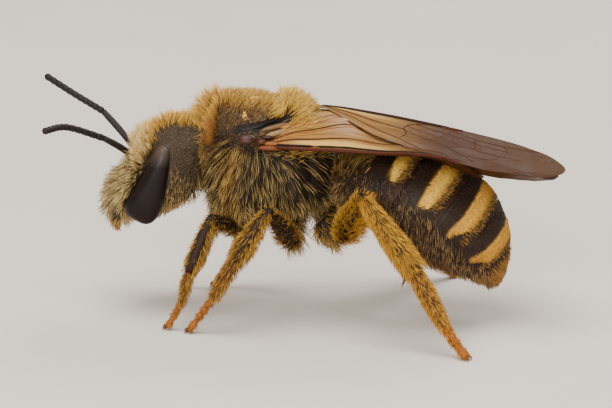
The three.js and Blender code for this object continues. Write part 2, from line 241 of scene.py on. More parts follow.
def placed(name, mesh):
    """An object of a mesh, active and alone in the selection."""
    piece = bpy.data.objects.new(name, mesh)
    bpy.context.scene.collection.objects.link(piece)
    return picked(piece)


def outward(piece):
    """Merges doubles and points every face outwards."""
    picked(piece)
    bpy.ops.object.mode_set(mode="EDIT")
    bpy.ops.mesh.select_all(action="SELECT")
    bpy.ops.mesh.remove_doubles(threshold=1e-7)
    bpy.ops.mesh.normals_make_consistent(inside=False)
    bpy.ops.object.mode_set(mode="OBJECT")
    return piece


def fused(name, balls):
    """Several balls as one smooth object."""
    piece = picked(*balls)
    bpy.ops.object.join()
    bpy.ops.object.transform_apply(location=True, rotation=True, scale=True)
    bpy.ops.object.shade_smooth()
    piece.name = name
    return piece


def tinted(mesh, name, colours):
    """Stores one colour for each point, with its fourth number 1 unless it is given."""
    colours = np.asarray(colours, float)
    if colours.shape[1] == 3:
        colours = np.column_stack([colours, np.ones(len(colours))])
    attribute = mesh.color_attributes.new(name, "FLOAT_COLOR", "POINT")
    attribute.data.foreach_set("color", colours.astype(np.float32).ravel())


def finished(piece, slot, material, *nodes):
    """Gives a piece its material and the body it rides on, and hides the solids it stands for; the slot is
    not used.
    """
    piece.data.materials.clear()
    piece.data.materials.append(material)
    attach(piece, BODY)
    if nodes:
        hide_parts(*nodes)
    return piece


def built(name, shells, slot, material, *nodes, tint=None):
    """A finished piece made of shells; tint gives the colours of its points, from them and their shells."""
    points, quads, triangles, owners = joined(shells)
    mesh = mesh_of(name, points, quads, triangles)
    if tint:
        tinted(mesh, "tint", tint(points, owners))
    return finished(outward(placed(name, mesh)), slot, material, *nodes)


# ---- sizes of the bee, in millimetres, as in the solids ----

HEAD_AT = np.array([0, -4.23, 4.23])
HEAD_LEAN = math.radians(28)
ACROSS = np.array([1.0, 0, 0])
CROWN = np.array([0, math.sin(HEAD_LEAN), math.cos(HEAD_LEAN)])
FACE = np.array([0, -math.cos(HEAD_LEAN), math.sin(HEAD_LEAN)])
HEAD_AXES = (ACROSS, CROWN, FACE)
CAPSULE = SimpleNamespace(wide=1.58, crown=1.52, chin=1.6, face=0.72, nape=1.22, taper=0.42, ahead=0.2)
EYE = SimpleNamespace(out=1.36, bulge=0.42, along=-0.15, half=1.17, front=0.47, crown=0.5, chin=1.26)
SMALL_EYES = ((0, 0.86), (0.3, 1.02), (-0.3, 1.02))  # places across the head and toward its crown
SMALL_EYE = 0.08
SOCKET = np.array([0.2, -0.02, 0.66])
JAW = ([0.8, -1.4, 0.42], [0.66, -1.84, 0.4], [0.2, -2.1, 0.14])

FEELER_LINKS = 11
FEELERS = {
    "left": ([0.3, -0.02, 0.6], (1.05, -5.8, 5.37), (2, -6.84, 5.9), (2.85, -7.46, 5.97)),
    "right": ([-0.3, -0.02, 0.6], (-1.05, -5.92, 5.65), (-1.72, -6.78, 5.96), (-2.62, -7.72, 6.29)),
}

THORAX = SimpleNamespace(front=-2.98, back=0.5, height=4.72, wide=1.6, rise=1.62, drop=1.66)
# the lumps that head and trunk are melted from, each a place and half sizes; the head's are measured
# across it, toward its crown and toward its face
HEAD_LUMPS = {
    "face shield": ((0, -0.95, 0.66), (0.6, 0.58, 0.24)),
    "upper lip": ((0, -1.52, 0.56), (0.36, 0.2, 0.18)),
    "between the feelers": ((0, 0.06, 0.6), (0.46, 0.66, 0.24)),
    "crown": ((0, 1.06, 0.04), (0.95, 0.46, 0.54)),
    "nape": ((0, 1.27, -0.35), (1.05, 0.44, 0.56)),
}
TRUNK_LUMPS = {
    "collar": ((0, -2.66, 5.2), (1.12, 0.42, 0.55)),
    "back": ((0, -1.6, 5.35), (1.6, 1.4, 1.1)),
    "front of the back": ((0, -2.12, 5.55), (1.2, 0.8, 0.92)),
    "hump behind the back": ((0, -0.42, 5.86), (1.0, 0.48, 0.6)),
    "step behind the hump": ((0, 0.36, 5.3), (0.8, 0.32, 0.4)),
    "rear wall": ((0, 0.22, 4.45), (1.28, 0.74, 1.28)),
    "breast": ((0, -1.5, 3.5), (1.2, 1.2, 0.6)),
}
CHEEK_LUMP = ((1.0, -0.22, 0.22), (0.47, 1.12, 0.38))
FLANK_LUMPS = (((1.0, -1.6, 4.05), (0.72, 0.95, 1.05)), ((1.1, -0.4, 4.35), (0.55, 0.7, 0.95)))
NECK = ((0, -3.5, 4.5), (0, -2.6, 4.6))
WAIST = ((0, 0.6, 3.95), (0, 1.4, 3.97))
WING_ROOT = np.array([1.62, -1.3, 5.2])
# the cap over a wing's root: its place, half sizes and lean in radians
TEGULA_AT = (1.8, -1.62, 5.68)
TEGULA_SIZE = (0.18, 0.27, 0.13)
TEGULA_LEAN = 0.5
# clumps of pollen on the back: place, spread and how many crumbs
POLLEN = (((1.12, -1.7, 6.19), 0.1, 16), ((0.45, -1.46, 6.54), 0.12, 18))

# the middle line of the abdomen: place along it, then y, z, half width and half thickness with hair
ABDOMEN = (
    (0, 0.86, 3.95, 0.42, 0.42),
    (1, 1.15, 3.97, 1.15, 0.9),
    (2, 1.8, 3.95, 1.72, 1.22),
    (3, 2.75, 3.75, 2.02, 1.47),
    (4, 3.72, 3.335, 2.1, 1.58),
    (5, 4.52, 2.76, 1.92, 1.62),
    (6, 5.155, 2.055, 1.47, 1.26),
    (7, 5.54, 1.43, 0.88, 0.68),
    (8, 5.72, 1.02, 0.22, 0.18),
)
PLATE_RIMS = (0, 0.39, 0.53, 0.658, 0.795, 0.915, 1)
# how far each ring plate leans: share of the abdomen's length for each radian round from the back
PLATE_LEAN = ((0, 0), (0.15, 0.03), (0.34, 0.045), (0.48, 0.03), (0.6, 0), (0.74, -0.012), (1, 0))
LEAN_FROM = math.radians(40)  # a plate has no lean this far round from the back
LEAN_TO = math.radians(125)  # from here on down the lean stays the same
# the crease between the back plates and the belly plates: degrees round from the back, and depth
FOLD_AT = 112
FOLD_WIDTH = 4
FOLD_DEPTH = 0.035
# felt bands: front edge, rear edge, how far round from the back they reach in degrees, and how far
# the front and the rear edge have moved back at their lower end
BANDS = (
    (0.325, 0.36, 58, 0.015, 0), (0.45, 0.492, 74, 0.004, -0.008), (0.583, 0.625, 86, -0.008, -0.035),
    (0.718, 0.763, 92, -0.014, -0.045),
)
# how far round from the back the long side hair starts: places along the abdomen, then degrees
FLANK_TOP = ((0.1, 0.33, 0.45, 0.57, 0.7, 0.8, 0.9), (44, 56, 69, 84, 90, 70, 60))

LEGS = {
    "fore_left": ((0.75, -1.75, 3.25), (1.05, -1.75, 2.75), (2.1, -2.6, 3.4), (2.3, -3.19, 1.79),
                  (2.33, -3.38, 0.84), (2.32, -3.76, 0.1)),
    "mid_left": ((0.8, -0.35, 2.95), (1.1, -0.1, 2.35), (2.5, -0.96, 3.75), (2.6, -1.85, 2.27),
                 (2.6, -2.5, 1.05), (2.6, -3.12, 0.1)),
    "hind_left": ((0.85, 0.6, 3), (1.15, 1.2, 2.55), (2.5, 1.75, 4.28), (3.4, 3.3, 2.42),
                  (3.98, 4.25, 0.88), (4.36, 4.9, 0.1)),
    "fore_right": ((-0.75, -1.7, 3.25), (-1.05, -1.6, 2.75), (-1.95, -2.05, 3.25), (-2.15, -2.78, 1.6),
                   (-2.2, -2.98, 0.75), (-2.2, -3.36, 0.1)),
    "mid_right": ((-0.8, -0.35, 2.95), (-1.1, -0.05, 2.35), (-2.3, -0.85, 3.45), (-2.45, -1.55, 2.02),
                  (-2.45, -1.98, 0.95), (-2.42, -2.5, 0.1)),
    "hind_right": ((-0.85, 0.6, 3), (-1.15, 1.2, 2.55), (-2.4, 1.85, 4.05), (-3.3, 3.3, 2.25),
                   (-3.95, 4.1, 0.98), (-4.36, 4.74, 0.1)),
}
LEG_PIECES = ("hip", "femur", "tibia", "metatarsus", "toes")
# bare half thickness of each leg piece at even steps along it
LEG_RADII = {
    "fore": {"hip": (0.26, 0.3, 0.2, 0.16), "femur": (0.1, 0.21, 0.22, 0.16, 0.1),
             "tibia": (0.09, 0.15, 0.18, 0.19, 0.14), "metatarsus": (0.1, 0.12, 0.12, 0.1, 0.07)},
    "mid": {"hip": (0.28, 0.32, 0.22, 0.17), "femur": (0.11, 0.26, 0.26, 0.18, 0.11),
            "tibia": (0.09, 0.17, 0.22, 0.25, 0.19), "metatarsus": (0.13, 0.17, 0.16, 0.13, 0.09)},
    "hind": {"hip": (0.3, 0.36, 0.26, 0.2), "femur": (0.13, 0.3, 0.31, 0.22, 0.13),
             "tibia": (0.1, 0.19, 0.25, 0.3, 0.28), "metatarsus": (0.17, 0.22, 0.23, 0.2, 0.14)},
}
TOE_STARTS = (0, 0.21, 0.4, 0.58, 1)
TOE_THICKNESS = {"fore": 1, "mid": 1.05, "hind": 1.35}

# wing outlines seen from above: y, then the leading and the trailing edge measured across
FOREWINGS = {
    "right": ((-1.3, -1.55, -1.2), (-0.4, -1.9, -0.75), (1.4, -1.98, 0.05), (2.3, -2.02, 0.58),
              (3.9, -2.04, 0.78), (5.1, -1.95, 1.18), (6.3, -1.48, 1.15), (7.2, -0.62, 0.94),
              (7.5, -0.22, 0.84), (7.64, 0.06, 0.72), (7.7, 0.28, 0.54)),
    "left": ((-1.3, 1.55, 1.2), (-0.4, 1.92, 0.62), (0.4, 1.98, 0.32), (0.85, 2.0, -0.1),
             (1.4, 2.02, -0.58), (2.3, 2.08, -0.76), (3.9, 2.1, -0.6), (5.1, 2.02, -0.3),
             (6.3, 1.72, 0.3), (6.9, 1.32, 0.46), (7.2, 1.06, 0.52), (7.36, 0.9, 0.56),
             (7.46, 0.76, 0.6), (7.5, 0.68, 0.64)),
}
HINDWING = ((-0.5, 1.5, 1), (0.6, 1.75, 0.75), (2.5, 1.88, 0.6), (4.2, 1.86, 0.62), (4.9, 1.66, 0.76),
            (5.2, 1.36, 0.86), (5.3, 1.14, 0.98))
# height of a forewing's leading edge at each y
WING_TOP = {
    "right": ((-1.3, 5.66), (0.6, 5.8), (2.2, 5.62), (3.6, 5.39), (5.3, 5.11), (6.6, 4.95), (7.2, 4.9),
              (7.72, 4.76)),
    "left": ((-1.3, 5.44), (0.6, 5.47), (2.2, 5.46), (3.6, 5.46), (4.7, 5.21), (5.4, 5.04), (7.58, 4.8)),
}
# how much a wing falls for each millimetre toward its trailing edge; near its root it rises
WING_FALL = {
    "right": ((-1.3, -0.25), (-0.5, -0.46), (0.3, -0.3), (1.2, -0.1), (2.0, 0), (5, 0.1), (6.4, 0.12),
              (7.3, 0.17), (7.72, 0.1)),
    "left": ((-1.3, -0.3), (-0.5, -0.56), (0.3, -0.46), (1.2, -0.25), (2.0, -0.06), (2.8, 0), (7.58, 0)),
}
MEMBRANE = 0.012  # thickness of a wing's skin
WING_LIE = 0.09  # how far the left forewing lies below the right one
HIND_DROP = 0.1  # how far a hindwing lies below its forewing
# the small plates at the left wing's root: tone, place and half sizes
WING_LOBES = (
    ("#6C330C", (1.74, -0.95, 5.42), (0.1, 0.36, 0.08)),
    ("#45200E", (1.62, -1.2, 5.56), (0.1, 0.16, 0.1)),
    ("#8A4E14", (1.66, -0.9, 5.53), (0.09, 0.24, 0.07)),
    ("#3A1C0E", (1.46, -1.05, 5.68), (0.14, 0.2, 0.06)),
)
# the folds of skin between the left wing and the back, then a painted shadow line: tone, half thickness and
# route
WING_FOLDS = (
    ("#9C7A50", 0.09, (1.5, -1.15, 5.68), (1.3, -0.8, 5.76), (1.05, -0.35, 5.85)),
    ("#7E5C3A", 0.08, (1.32, -1.25, 5.84), (1.13, -0.85, 5.9), (0.86, -0.4, 5.98)),
    # no fold: a thin black rod that stands for the shadow in the gap between the back's edge and the wing's
    # root
    ("#0E0805", 0.035, (1.42, -1.87, 5.83), (1.32, -1.31, 5.94), (1.1, -1.02, 6.03), (0.8, -0.47, 6.07)),
)

# the line of the shadow in the gap between the back's raised edge and the left wing's root, painted dark on
# the bare skin
BACK_SHADOW = ((1.4, -1.87, 5.83), (1.3, -1.31, 5.94), (1.1, -1.02, 6.03), (0.8, -0.47, 6.05))

# veins of a forewing: half thickness, then places from base to tip and from leading to trailing edge
FORE_VEINS = {
    "costa": (0.075, (0.01, 0.03), (0.2, 0.012), (0.45, 0.01), (0.62, 0.012)),
    "radius": (0.06, (0.0, 0.16), (0.08, 0.1), (0.3, 0.075), (0.5, 0.06), (0.6, 0.045)),
    "stigma": (0.07, (0.575, 0.03), (0.62, 0.035), (0.67, 0.02)),
    "rim": (0.022, (0.66, 0.012), (0.8, 0.01), (0.9, 0.014)),
    "marginal": (0.026, (0.62, 0.04), (0.67, 0.16), (0.78, 0.2), (0.87, 0.13), (0.92, 0.03)),
    "cubital stem": (0.045, (0.02, 0.22), (0.14, 0.26), (0.3, 0.32), (0.47, 0.4)),
    "basal": (0.032, (0.47, 0.4), (0.48, 0.28), (0.51, 0.16), (0.57, 0.05)),
    "anal": (0.036, (0.02, 0.34), (0.16, 0.52), (0.32, 0.7), (0.46, 0.86), (0.52, 0.95)),
    "anal fold": (0.02, (0.02, 0.46), (0.16, 0.74), (0.26, 0.9)),
    "cross anal": (0.03, (0.47, 0.4), (0.48, 0.52), (0.46, 0.79)),
    "upper crease": (0.02, (0.02, 0.28), (0.12, 0.36), (0.26, 0.47), (0.37, 0.54)),
    "middle crease": (0.024, (0.03, 0.32), (0.14, 0.45), (0.28, 0.6), (0.38, 0.7)),
    "lower crease": (0.02, (0.02, 0.4), (0.14, 0.62), (0.26, 0.8), (0.34, 0.88)),
    "sector": (0.026, (0.51, 0.16), (0.57, 0.22), (0.64, 0.25), (0.76, 0.31), (0.84, 0.33)),
    "median": (0.026, (0.48, 0.28), (0.56, 0.36), (0.64, 0.42), (0.76, 0.47), (0.86, 0.5)),
    "cubitus": (0.03, (0.47, 0.4), (0.54, 0.54), (0.61, 0.64), (0.7, 0.82)),
    "first cross": (0.024, (0.63, 0.1), (0.615, 0.25)),
    "second cross": (0.022, (0.71, 0.19), (0.71, 0.44)),
    "third cross": (0.022, (0.8, 0.18), (0.815, 0.32), (0.8, 0.48)),
    "sector link": (0.024, (0.64, 0.25), (0.635, 0.42)),
    "first recurrent": (0.024, (0.66, 0.43), (0.64, 0.55), (0.6, 0.64)),
    "second recurrent": (0.022, (0.785, 0.475), (0.77, 0.6), (0.71, 0.7), (0.66, 0.74)),
}
VEIN_TONES = {
    "costa": "#4A1E0A", "radius": "#140A05", "stigma": "#4A2412", "rim": "#4A2A18",
    "upper crease": "#8A5226", "middle crease": "#8E4A1C", "lower crease": "#8A5226",
}
VEIN_TONE = "#46260F"
HIND_VEINS = {
    "front": (0.04, (0.0, 0.04), (0.3, 0.03), (0.6, 0.02), (0.8, 0.02)),
    "middle": (0.028, (0.02, 0.3), (0.3, 0.4), (0.5, 0.42), (0.6, 0.1)),
    "rear": (0.024, (0.02, 0.5), (0.3, 0.7), (0.5, 0.8)),
    "outer": (0.02, (0.5, 0.42), (0.75, 0.5), (0.9, 0.5)),
}

# the view: turn, rise and roll in degrees, aim and width in millimetres, lens in millimetres of focal length
CAMERA_TURN = 90
CAMERA_RISE = 15
CAMERA_ROLL = 2
CAMERA_AIM = (0, 0.147, 3.32)
CAMERA_LENS = 300
FRAME_WIDTH = 18
# the studio, in metres and watts: each soft light's place, width and power
FLOOR_SIZE = 1.2
SKY_STRENGTH = 0.38
LIGHTS_AIM = (0, 0, 0.003)
LIGHTS = {
    "overhead softbox": ((0.03, -0.02, 0.17), 0.12, 0.42),
    "front softbox": ((0.15, -0.03, 0.06), 0.1, 0.34),
    "rear softbox": ((-0.12, 0.08, 0.12), 0.09, 0.2),
}

# fixed tones of each piece, in the order in which its code names them
TONES = {
    "sky": ("#F0E7DA",),
    # the skin's second tone is a painted shadow along the back's edges
    "skin": ("#4A3624", "#120B07", "#2E1D10", "#57301A"),
    # the eyes' second tone is a painted reflection of the sky on their upper part
    "eyes": ("#1D1211", "#443A31"),
    "small eyes": ("#1A0F0A", "#3A2012"),
    "jaws": ("#140A06", "#2C160C"),
    "wing caps": ("#1C0C06", "#46200F"),
    "claws": ("#2A1209", "#6A3012"),
    "pollen": ("#F2BE6A", "#B86E1E"),
    "ring plates": ("#C8963F", "#4A2A12"),
    # the wings' tones: pleats in painted light, furrows in painted shade, a painted highlight on the basal
    # cell, and the front edge
    "wings": ("#A87A3C", "#6E431C", "#C8A053", "#5E2A10"),
    "face coat": ("#2A180B", "#7A5626", "#E8B95C"),
    "crown coat": ("#2B2118", "#7A654C"),
    "ridge coat": ("#7A5018", "#F0BE58"),
    "cheeks coat": ("#1C110A", "#D6B070"),
    "chin coat": ("#4A3018", "#CDA769"),
    "jaws coat": ("#4A2E12", "#E2B45C"),
    # the back coat's fourth tone is a painted glow of the hair along the top
    "back coat": ("#3A281A", "#7A4E1C", "#A08056", "#F8CE74", "#F2C862"),
    "collar coat": ("#6A3E14", "#F2BC54", "#A87434"),
    "tuft coat": ("#8A5E20", "#F6CC60"),
    "sides coat": ("#190F07", "#4A2E12", "#E0B25A"),
    "breast coat": ("#2A1A0D",),
    # the bands' second tone is the painted shadow that the wings cast on their tops
    "bands coat": ("#E8A636", "#BE7C2C", "#C88A34", "#A87430"),
    "fringes coat": ("#3E2610", "#C0944C"),
    "plates coat": ("#1C120B", "#5A4029"),
    "flanks coat": ("#1E0F06", "#E8B97C", "#DC9C48"),
    "tip coat": ("#4A280E", "#D29A4C"),
    "waist coat": ("#2A1A0D", "#CBA258"),
    "legs coat": ("#9A7844",),
}


def tones(piece):
    """The fixed tones of a piece as linear colours."""
    return [linear(code) for code in TONES[piece]]


# ---- colours and sizes that a user may change ----


STANDARD_HAIR = 0.022 * MM  # the hair width for which the widths of the looks are given


def colour(name, code, description):
    """A colour setting with an sRGB hex default."""
    return FloatVectorProperty(
        name=name, description=description, subtype="COLOR", size=3, min=0, max=1, default=linear(code)
    )


class BeeColours(bpy.types.PropertyGroup):
    """Colours of the bee's shell, hair and wings."""

    shell: colour("Shell", "#20150E", "Black-brown horny shell of the trunk and legs")
    crown: colour("Crown", "#43372B", "Grey-brown dull shell on top of the head")
    plate: colour("Ring plates", "#2A1C12", "Satin black-brown plates of the abdomen")
    toe: colour("Toes", "#9C5818", "Orange-brown horn of the feet")
    eye: colour("Eyes", "#0E0908", "Black-purple of the large eyes")
    horn: colour("Feelers", "#1B130E", "Dull black-brown of the feelers")
    cream: colour("Cream hair", "#F0D08A", "Pale hair of the face")
    gold: colour("Gold hair", "#E8AE3E", "Golden hair of the trunk and legs")
    orange: colour("Orange hair", "#DC8C2C", "Orange hair of the feet and the abdomen's tip")
    straw: colour("Straw hair", "#DAB66E", "Pale gold hair of the sides")
    felt: colour("Felt", "#FAC956", "Felt of the abdomen's bands")
    umber: colour("Dark hair", "#24150A", "Dark roots of the hair")
    amber: colour("Wing base", "#9A6C2A", "Amber skin at the wing's base")
    smoke: colour("Wing tip", "#452711", "Smoky skin of the wing's outer half")
    floor: colour("Floor", "#D5CCBF", "Pale studio floor")


class BeeSizes(bpy.types.PropertyGroup):
    """Sizes of the coat, for which 1 is the real bee's."""

    hair_width: FloatProperty(
        name="Hair width", description="Thickness of one hair at its root",
        default=STANDARD_HAIR, min=0, precision=6, unit="LENGTH",
    )
    hair_length: FloatProperty(
        name="Hair length", description="Length of every hair against the real one",
        default=1, min=0.2, max=1.5, subtype="FACTOR",
    )
    hair_count: FloatProperty(
        name="Hair count", description="Number of hairs against the full coat",
        default=1, min=0.05, max=1, subtype="FACTOR",
    )
    voxel: FloatProperty(
        name="Skin grain", description="Size of the smallest lump of the trunk's skin",
        default=0.045 * MM, min=0, precision=6, unit="LENGTH",
    )
    seed: IntProperty(name="Seed", description="Start of the random draws", default=7, min=0)


# ---- materials ----


def fill(tree, target, inputs):
    """Gives a node's sockets their values and their links."""
    for name, value in inputs.items():
        if isinstance(value, bpy.types.NodeSocket):
            tree.links.new(value, target.inputs[name])
        else:
            target.inputs[name].default_value = value


def node(tree, kind, inputs=None, **settings):
    """Adds a node with its settings, its values and its links."""
    added = tree.nodes.new(kind)
    for name, value in settings.items():
        setattr(added, name, value)
    fill(tree, added, inputs or {})
    return added


FACTOR, FIRST, SECOND, BLENDED = 0, 6, 7, 2  # sockets of a colour Mix node
HORN_IOR = 1.56


def blank(name):
    """A new material with its tree, its shader and the surface's place in millimetres."""
    material = bpy.data.materials.new(name)
    material.use_nodes = True
    tree = material.node_tree
    surface = tree.nodes["Principled BSDF"]
    place = node(tree, "ShaderNodeTexCoord").outputs["Object"]
    millimetres = node(tree, "ShaderNodeMapping", {"Vector": place, "Scale": (1 / MM,) * 3}).outputs["Vector"]
    return material, tree, surface, millimetres


def noise(tree, place, scale, detail):
    """Cloudy noise from 0 to 1, with about scale waves to a millimetre."""
    inputs = {"Vector": place, "Scale": scale, "Detail": detail}
    return node(tree, "ShaderNodeTexNoise", inputs).outputs["Fac"]


def cells(tree, place, width):
    """How far each place is from the middle of its cell, for cells about width millimetres wide."""
    return node(tree, "ShaderNodeTexVoronoi", {"Vector": place, "Scale": 1 / width}).outputs["Distance"]


def ranged(tree, value, low, high, start=0.0, end=1.0):
    """A value that goes from low to high as another goes from start to end."""
    limits = {"From Min": start, "From Max": end, "To Min": low, "To Max": high}
    return node(tree, "ShaderNodeMapRange", {"Value": value, **limits}).outputs[0]


def blended(tree, share, first, second):
    """A blend of two colours, each of them a socket or a linear colour."""
    ends = [end if isinstance(end, bpy.types.NodeSocket) else (*end, 1) for end in (first, second)]
    inputs = {FACTOR: share, FIRST: ends[0], SECOND: ends[1]}
    return node(tree, "ShaderNodeMix", inputs, data_type="RGBA").outputs[BLENDED]


def shaded(tree, tone, shade):
    """A colour made lighter or darker."""
    return node(tree, "ShaderNodeVectorMath", {0: tone, 1: shade}, operation="MULTIPLY").outputs[0]


def rough_bump(tree, surface, height, distance, strength=0.6):
    """Joins a height in millimetres to the shader's normal."""
    bump = node(tree, "ShaderNodeBump", {"Height": height, "Distance": distance * MM, "Strength": strength})
    tree.links.new(bump.outputs["Normal"], surface.inputs["Normal"])


def shell_material(name, gloss, pit_spacing, pit_depth, shine):
    """Insect horn, cast by the animal with fine pits: satin black-brown that is duller between its pits."""
    material, tree, surface, place = blank(name)
    tint = node(tree, "ShaderNodeAttribute", attribute_name="tint").outputs["Color"]
    dark = blended(tree, 0.55, tint, (0, 0, 0))
    grain = noise(tree, place, 40, 2)
    pits = ranged(tree, cells(tree, place, pit_spacing), 0, 1, 0, 0.45)
    height = node(tree, "ShaderNodeMath", {0: pits, 1: grain}, operation="ADD").outputs[0]
    rough_bump(tree, surface, height, pit_depth)
    fill(tree, surface, {
        "Base Color": blended(tree, noise(tree, place, 2.2, 4), dark, tint),
        "Roughness": ranged(tree, grain, gloss - 0.08, gloss + 0.12),
        "IOR": HORN_IOR,
        "Specular IOR Level": shine,
    })
    return material


def eye_material(colours):
    """A large insect eye: a clear skin of tiny facets over a black-purple depth, with a painted grey-brown
    reflection of the sky toward its top.
    """
    material, tree, surface, place = blank("glassy faceted eye")
    depth, sky_reflection = tones("eyes")
    cloud = noise(tree, place, 1.1, 1)
    height = node(tree, "ShaderNodeSeparateXYZ", {"Vector": place}).outputs["Z"]
    rough_bump(tree, surface, cells(tree, place, 0.03), 0.002, 0.25)
    clear = blended(tree, cloud, colours.eye, depth)
    fill(tree, surface, {
        # the upper part of the eye is painted paler grey-brown: a painted reflection of the sky
        "Base Color": blended(tree, ranged(tree, height, 0, 1, 4.7, 5.2), clear, sky_reflection),
        "Roughness": ranged(tree, cloud, 0.4, 0.5),
        "IOR": 1.5,
        "Specular IOR Level": 0.11,
        "Coat Weight": 0.06,
        "Coat Roughness": 0.1,
    })
    return material


def glassy_material(name, piece, rough, shine=0.5):
    """Polished clear horn, as on small eyes, claws, jaws and wing caps: dark amber with a wet shine."""
    material, tree, surface, place = blank(name)
    cloud = noise(tree, place, 3, 2)
    rough_bump(tree, surface, cloud, 0.01, 0.3)
    fill(tree, surface, {
        "Base Color": blended(tree, cloud, *tones(piece)),
        "Roughness": rough,
        "IOR": HORN_IOR,
        "Specular IOR Level": shine,
    })
    return material


def hair_material(name, rough):
    """Insect hair, a dry tapering bristle: a soft shine along each hair, darker at the root."""
    material, tree, surface, place = blank(name)
    tint = node(tree, "ShaderNodeAttribute", attribute_name="strand").outputs["Color"]
    fill(tree, surface, {
        "Base Color": shaded(tree, tint, ranged(tree, noise(tree, place, 9, 3), 0.8, 1.2)),
        "Roughness": rough,
        "IOR": 1.55,
        "Specular IOR Level": 0.18,
    })
    return material


def wing_material():
    """Wing skin, dried thin horn set with tiny bristles: amber, faintly see-through, smoky toward its tip."""
    material, tree, surface, place = blank("clear bristled wing skin")
    skin = node(tree, "ShaderNodeAttribute", attribute_name="tint")
    pleats = noise(tree, place, 2.4, 2)
    bristles = cells(tree, place, 0.05)
    height = node(tree, "ShaderNodeMath", {0: bristles, 1: 0.12, 2: pleats}, operation="MULTIPLY_ADD")
    rough_bump(tree, surface, height.outputs[0], 0.05, 0.5)
    fill(tree, surface, {
        "Base Color": shaded(tree, skin.outputs["Color"], ranged(tree, noise(tree, place, 3, 3), 0.8, 1.15)),
        "Alpha": skin.outputs["Alpha"],
        "Roughness": ranged(tree, pleats, 0.28, 0.5, 0.35, 0.65),
        "IOR": 1.5,
        "Specular IOR Level": 0.12,
    })
    return material


def pollen_material():
    """A crumb of pollen: dry, dull orange-yellow grains."""
    material, tree, surface, place = blank("dry pollen")
    grains = cells(tree, place, 0.045)
    rough_bump(tree, surface, grains, -0.02, 0.9)
    fill(tree, surface, {"Base Color": blended(tree, grains, *tones("pollen")), "Roughness": 0.85})
    return material


def floor_material(colours):
    """A painted studio floor: dull, pale and very faintly uneven."""
    material, tree, surface, place = blank("pale studio floor")
    shade = ranged(tree, noise(tree, place, 0.15, 2), 0.96, 1.03)
    fill(tree, surface, {"Base Color": shaded(tree, tuple(colours.floor), shade), "Roughness": 0.8})
    return material


# ---- surfaces of the trunk ----


def on_head(across, crown, face):
    """Places on the head, measured across it, toward its crown and toward its face."""
    return (
        HEAD_AT + np.multiply.outer(across, ACROSS) + np.multiply.outer(crown, CROWN)
        + np.multiply.outer(face, FACE)
    )


def head_parts(points):
    """Places across the head, toward its crown and toward its face."""
    away = points - HEAD_AT
    return away @ ACROSS, away @ CROWN, away @ FACE


def head_capsule(u, v):
    """The head without its eyes: flat in front, deep behind and narrower toward the chin."""
    t = -np.cos(math.pi * u)
    full = dome(t, 2.4)
    low = np.maximum(0, -t)
    c, s = ring(v, 0.9)
    depth = np.where(s > 0, CAPSULE.face, CAPSULE.nape * (1 - 0.45 * low)) * full * s
    wide = CAPSULE.wide * full * (1 - CAPSULE.taper * low**2)
    reach = t * np.where(t < 0, CAPSULE.chin, CAPSULE.crown)
    return on_head(wide * c, reach, CAPSULE.ahead * low + depth)


def thorax_barrel(u, v):
    """The thorax as one barrel, blunter along its top than along its underside."""
    t = -np.cos(math.pi * u)
    c, s = ring(v, 0.95)
    height = np.where(s > 0, THORAX.rise * dome(t, 2.8), THORAX.drop * dome(t, 2.2))
    y = (THORAX.front + THORAX.back) / 2 + t * (THORAX.back - THORAX.front) / 2
    return np.column_stack([THORAX.wide * dome(t, 2.5) * c, y, THORAX.height + height * s])


def trunk_surfaces():
    """The overlapping lumps that the head and the trunk are melted together from."""
    lumps = [head_capsule, thorax_barrel]
    lumps += [ball(on_head(*place), radii, HEAD_AXES) for place, radii in HEAD_LUMPS.values()]
    lumps += [ball(place, radii) for place, radii in TRUNK_LUMPS.values()]
    lumps += [rod(NECK, (0.55, 0.6)), rod(WAIST, (0.36, 0.3, 0.36))]
    for sign in SIDES.values():
        (across, *place), radii = CHEEK_LUMP
        lumps.append(ball(on_head(sign * across, *place), radii, HEAD_AXES))
        lumps += [ball((sign * across, *place), radii) for (across, *place), radii in FLANK_LUMPS]
    for name, joints in LEGS.items():
        lumps.append(rod(joints[:2], LEG_RADII[name.split("_")[0]]["hip"]))
    return lumps


def leg_surfaces(name):
    """The femur, the tibia, the metatarsus and the toe links of a leg, each as a surface."""
    joints = np.array(LEGS[name])
    radii = LEG_RADII[name.split("_")[0]]
    pieces = [
        (piece, rod(joints[i + 1 : i + 3], radii[piece], 0.82 if piece == "metatarsus" else 0.9))
        for i, piece in enumerate(LEG_PIECES[1:4])
    ]
    heel, toe = joints[4], joints[5]
    thick = TOE_THICKNESS[name.split("_")[0]]
    for start, end in zip(TOE_STARTS, TOE_STARTS[1:]):
        ends = (heel + (toe - heel) * start, heel + (toe - heel) * (end + 0.02))
        pieces.append(("toes", rod(ends, np.array((0.045, 0.075, 0.1, 0.07)) * thick)))
    return pieces


def melted(sizes):
    """The trunk's lumps as one smooth closed mesh: its points and quads, in millimetres."""
    points, quads, triangles, _ = joined([shell(surface, 32, 32) for surface in trunk_surfaces()])
    piece = placed("melting", mesh_of("melting", points / MM, quads, triangles))
    outward(piece)
    bpy.ops.object.modifier_add(type="REMESH")
    piece.modifiers[0].mode = "VOXEL"
    piece.modifiers[0].voxel_size = sizes.voxel / MM
    bpy.ops.object.modifier_apply(modifier=piece.modifiers[0].name)
    bpy.ops.object.modifier_add(type="SMOOTH")
    piece.modifiers[0].factor = 0.5
    piece.modifiers[0].iterations = 5
    bpy.ops.object.modifier_apply(modifier=piece.modifiers[0].name)
    mesh = piece.data
    points = np.empty(len(mesh.vertices) * 3)
    mesh.vertices.foreach_get("co", points)
    corners = np.empty(len(mesh.loops), np.int32)
    mesh.loops.foreach_get("vertex_index", corners)
    bpy.data.objects.remove(piece)
    return points.reshape(-1, 3), corners.reshape(-1, 4)


def from_back_shadow(at):
    """How far each place is from the painted shadow lines along the edges of the back."""
    track = smooth(evenly(BACK_SHADOW), np.linspace(0, 1, 24))
    return np.linalg.norm(to_left(at)[:, None] - track[None], axis=2).min(1)


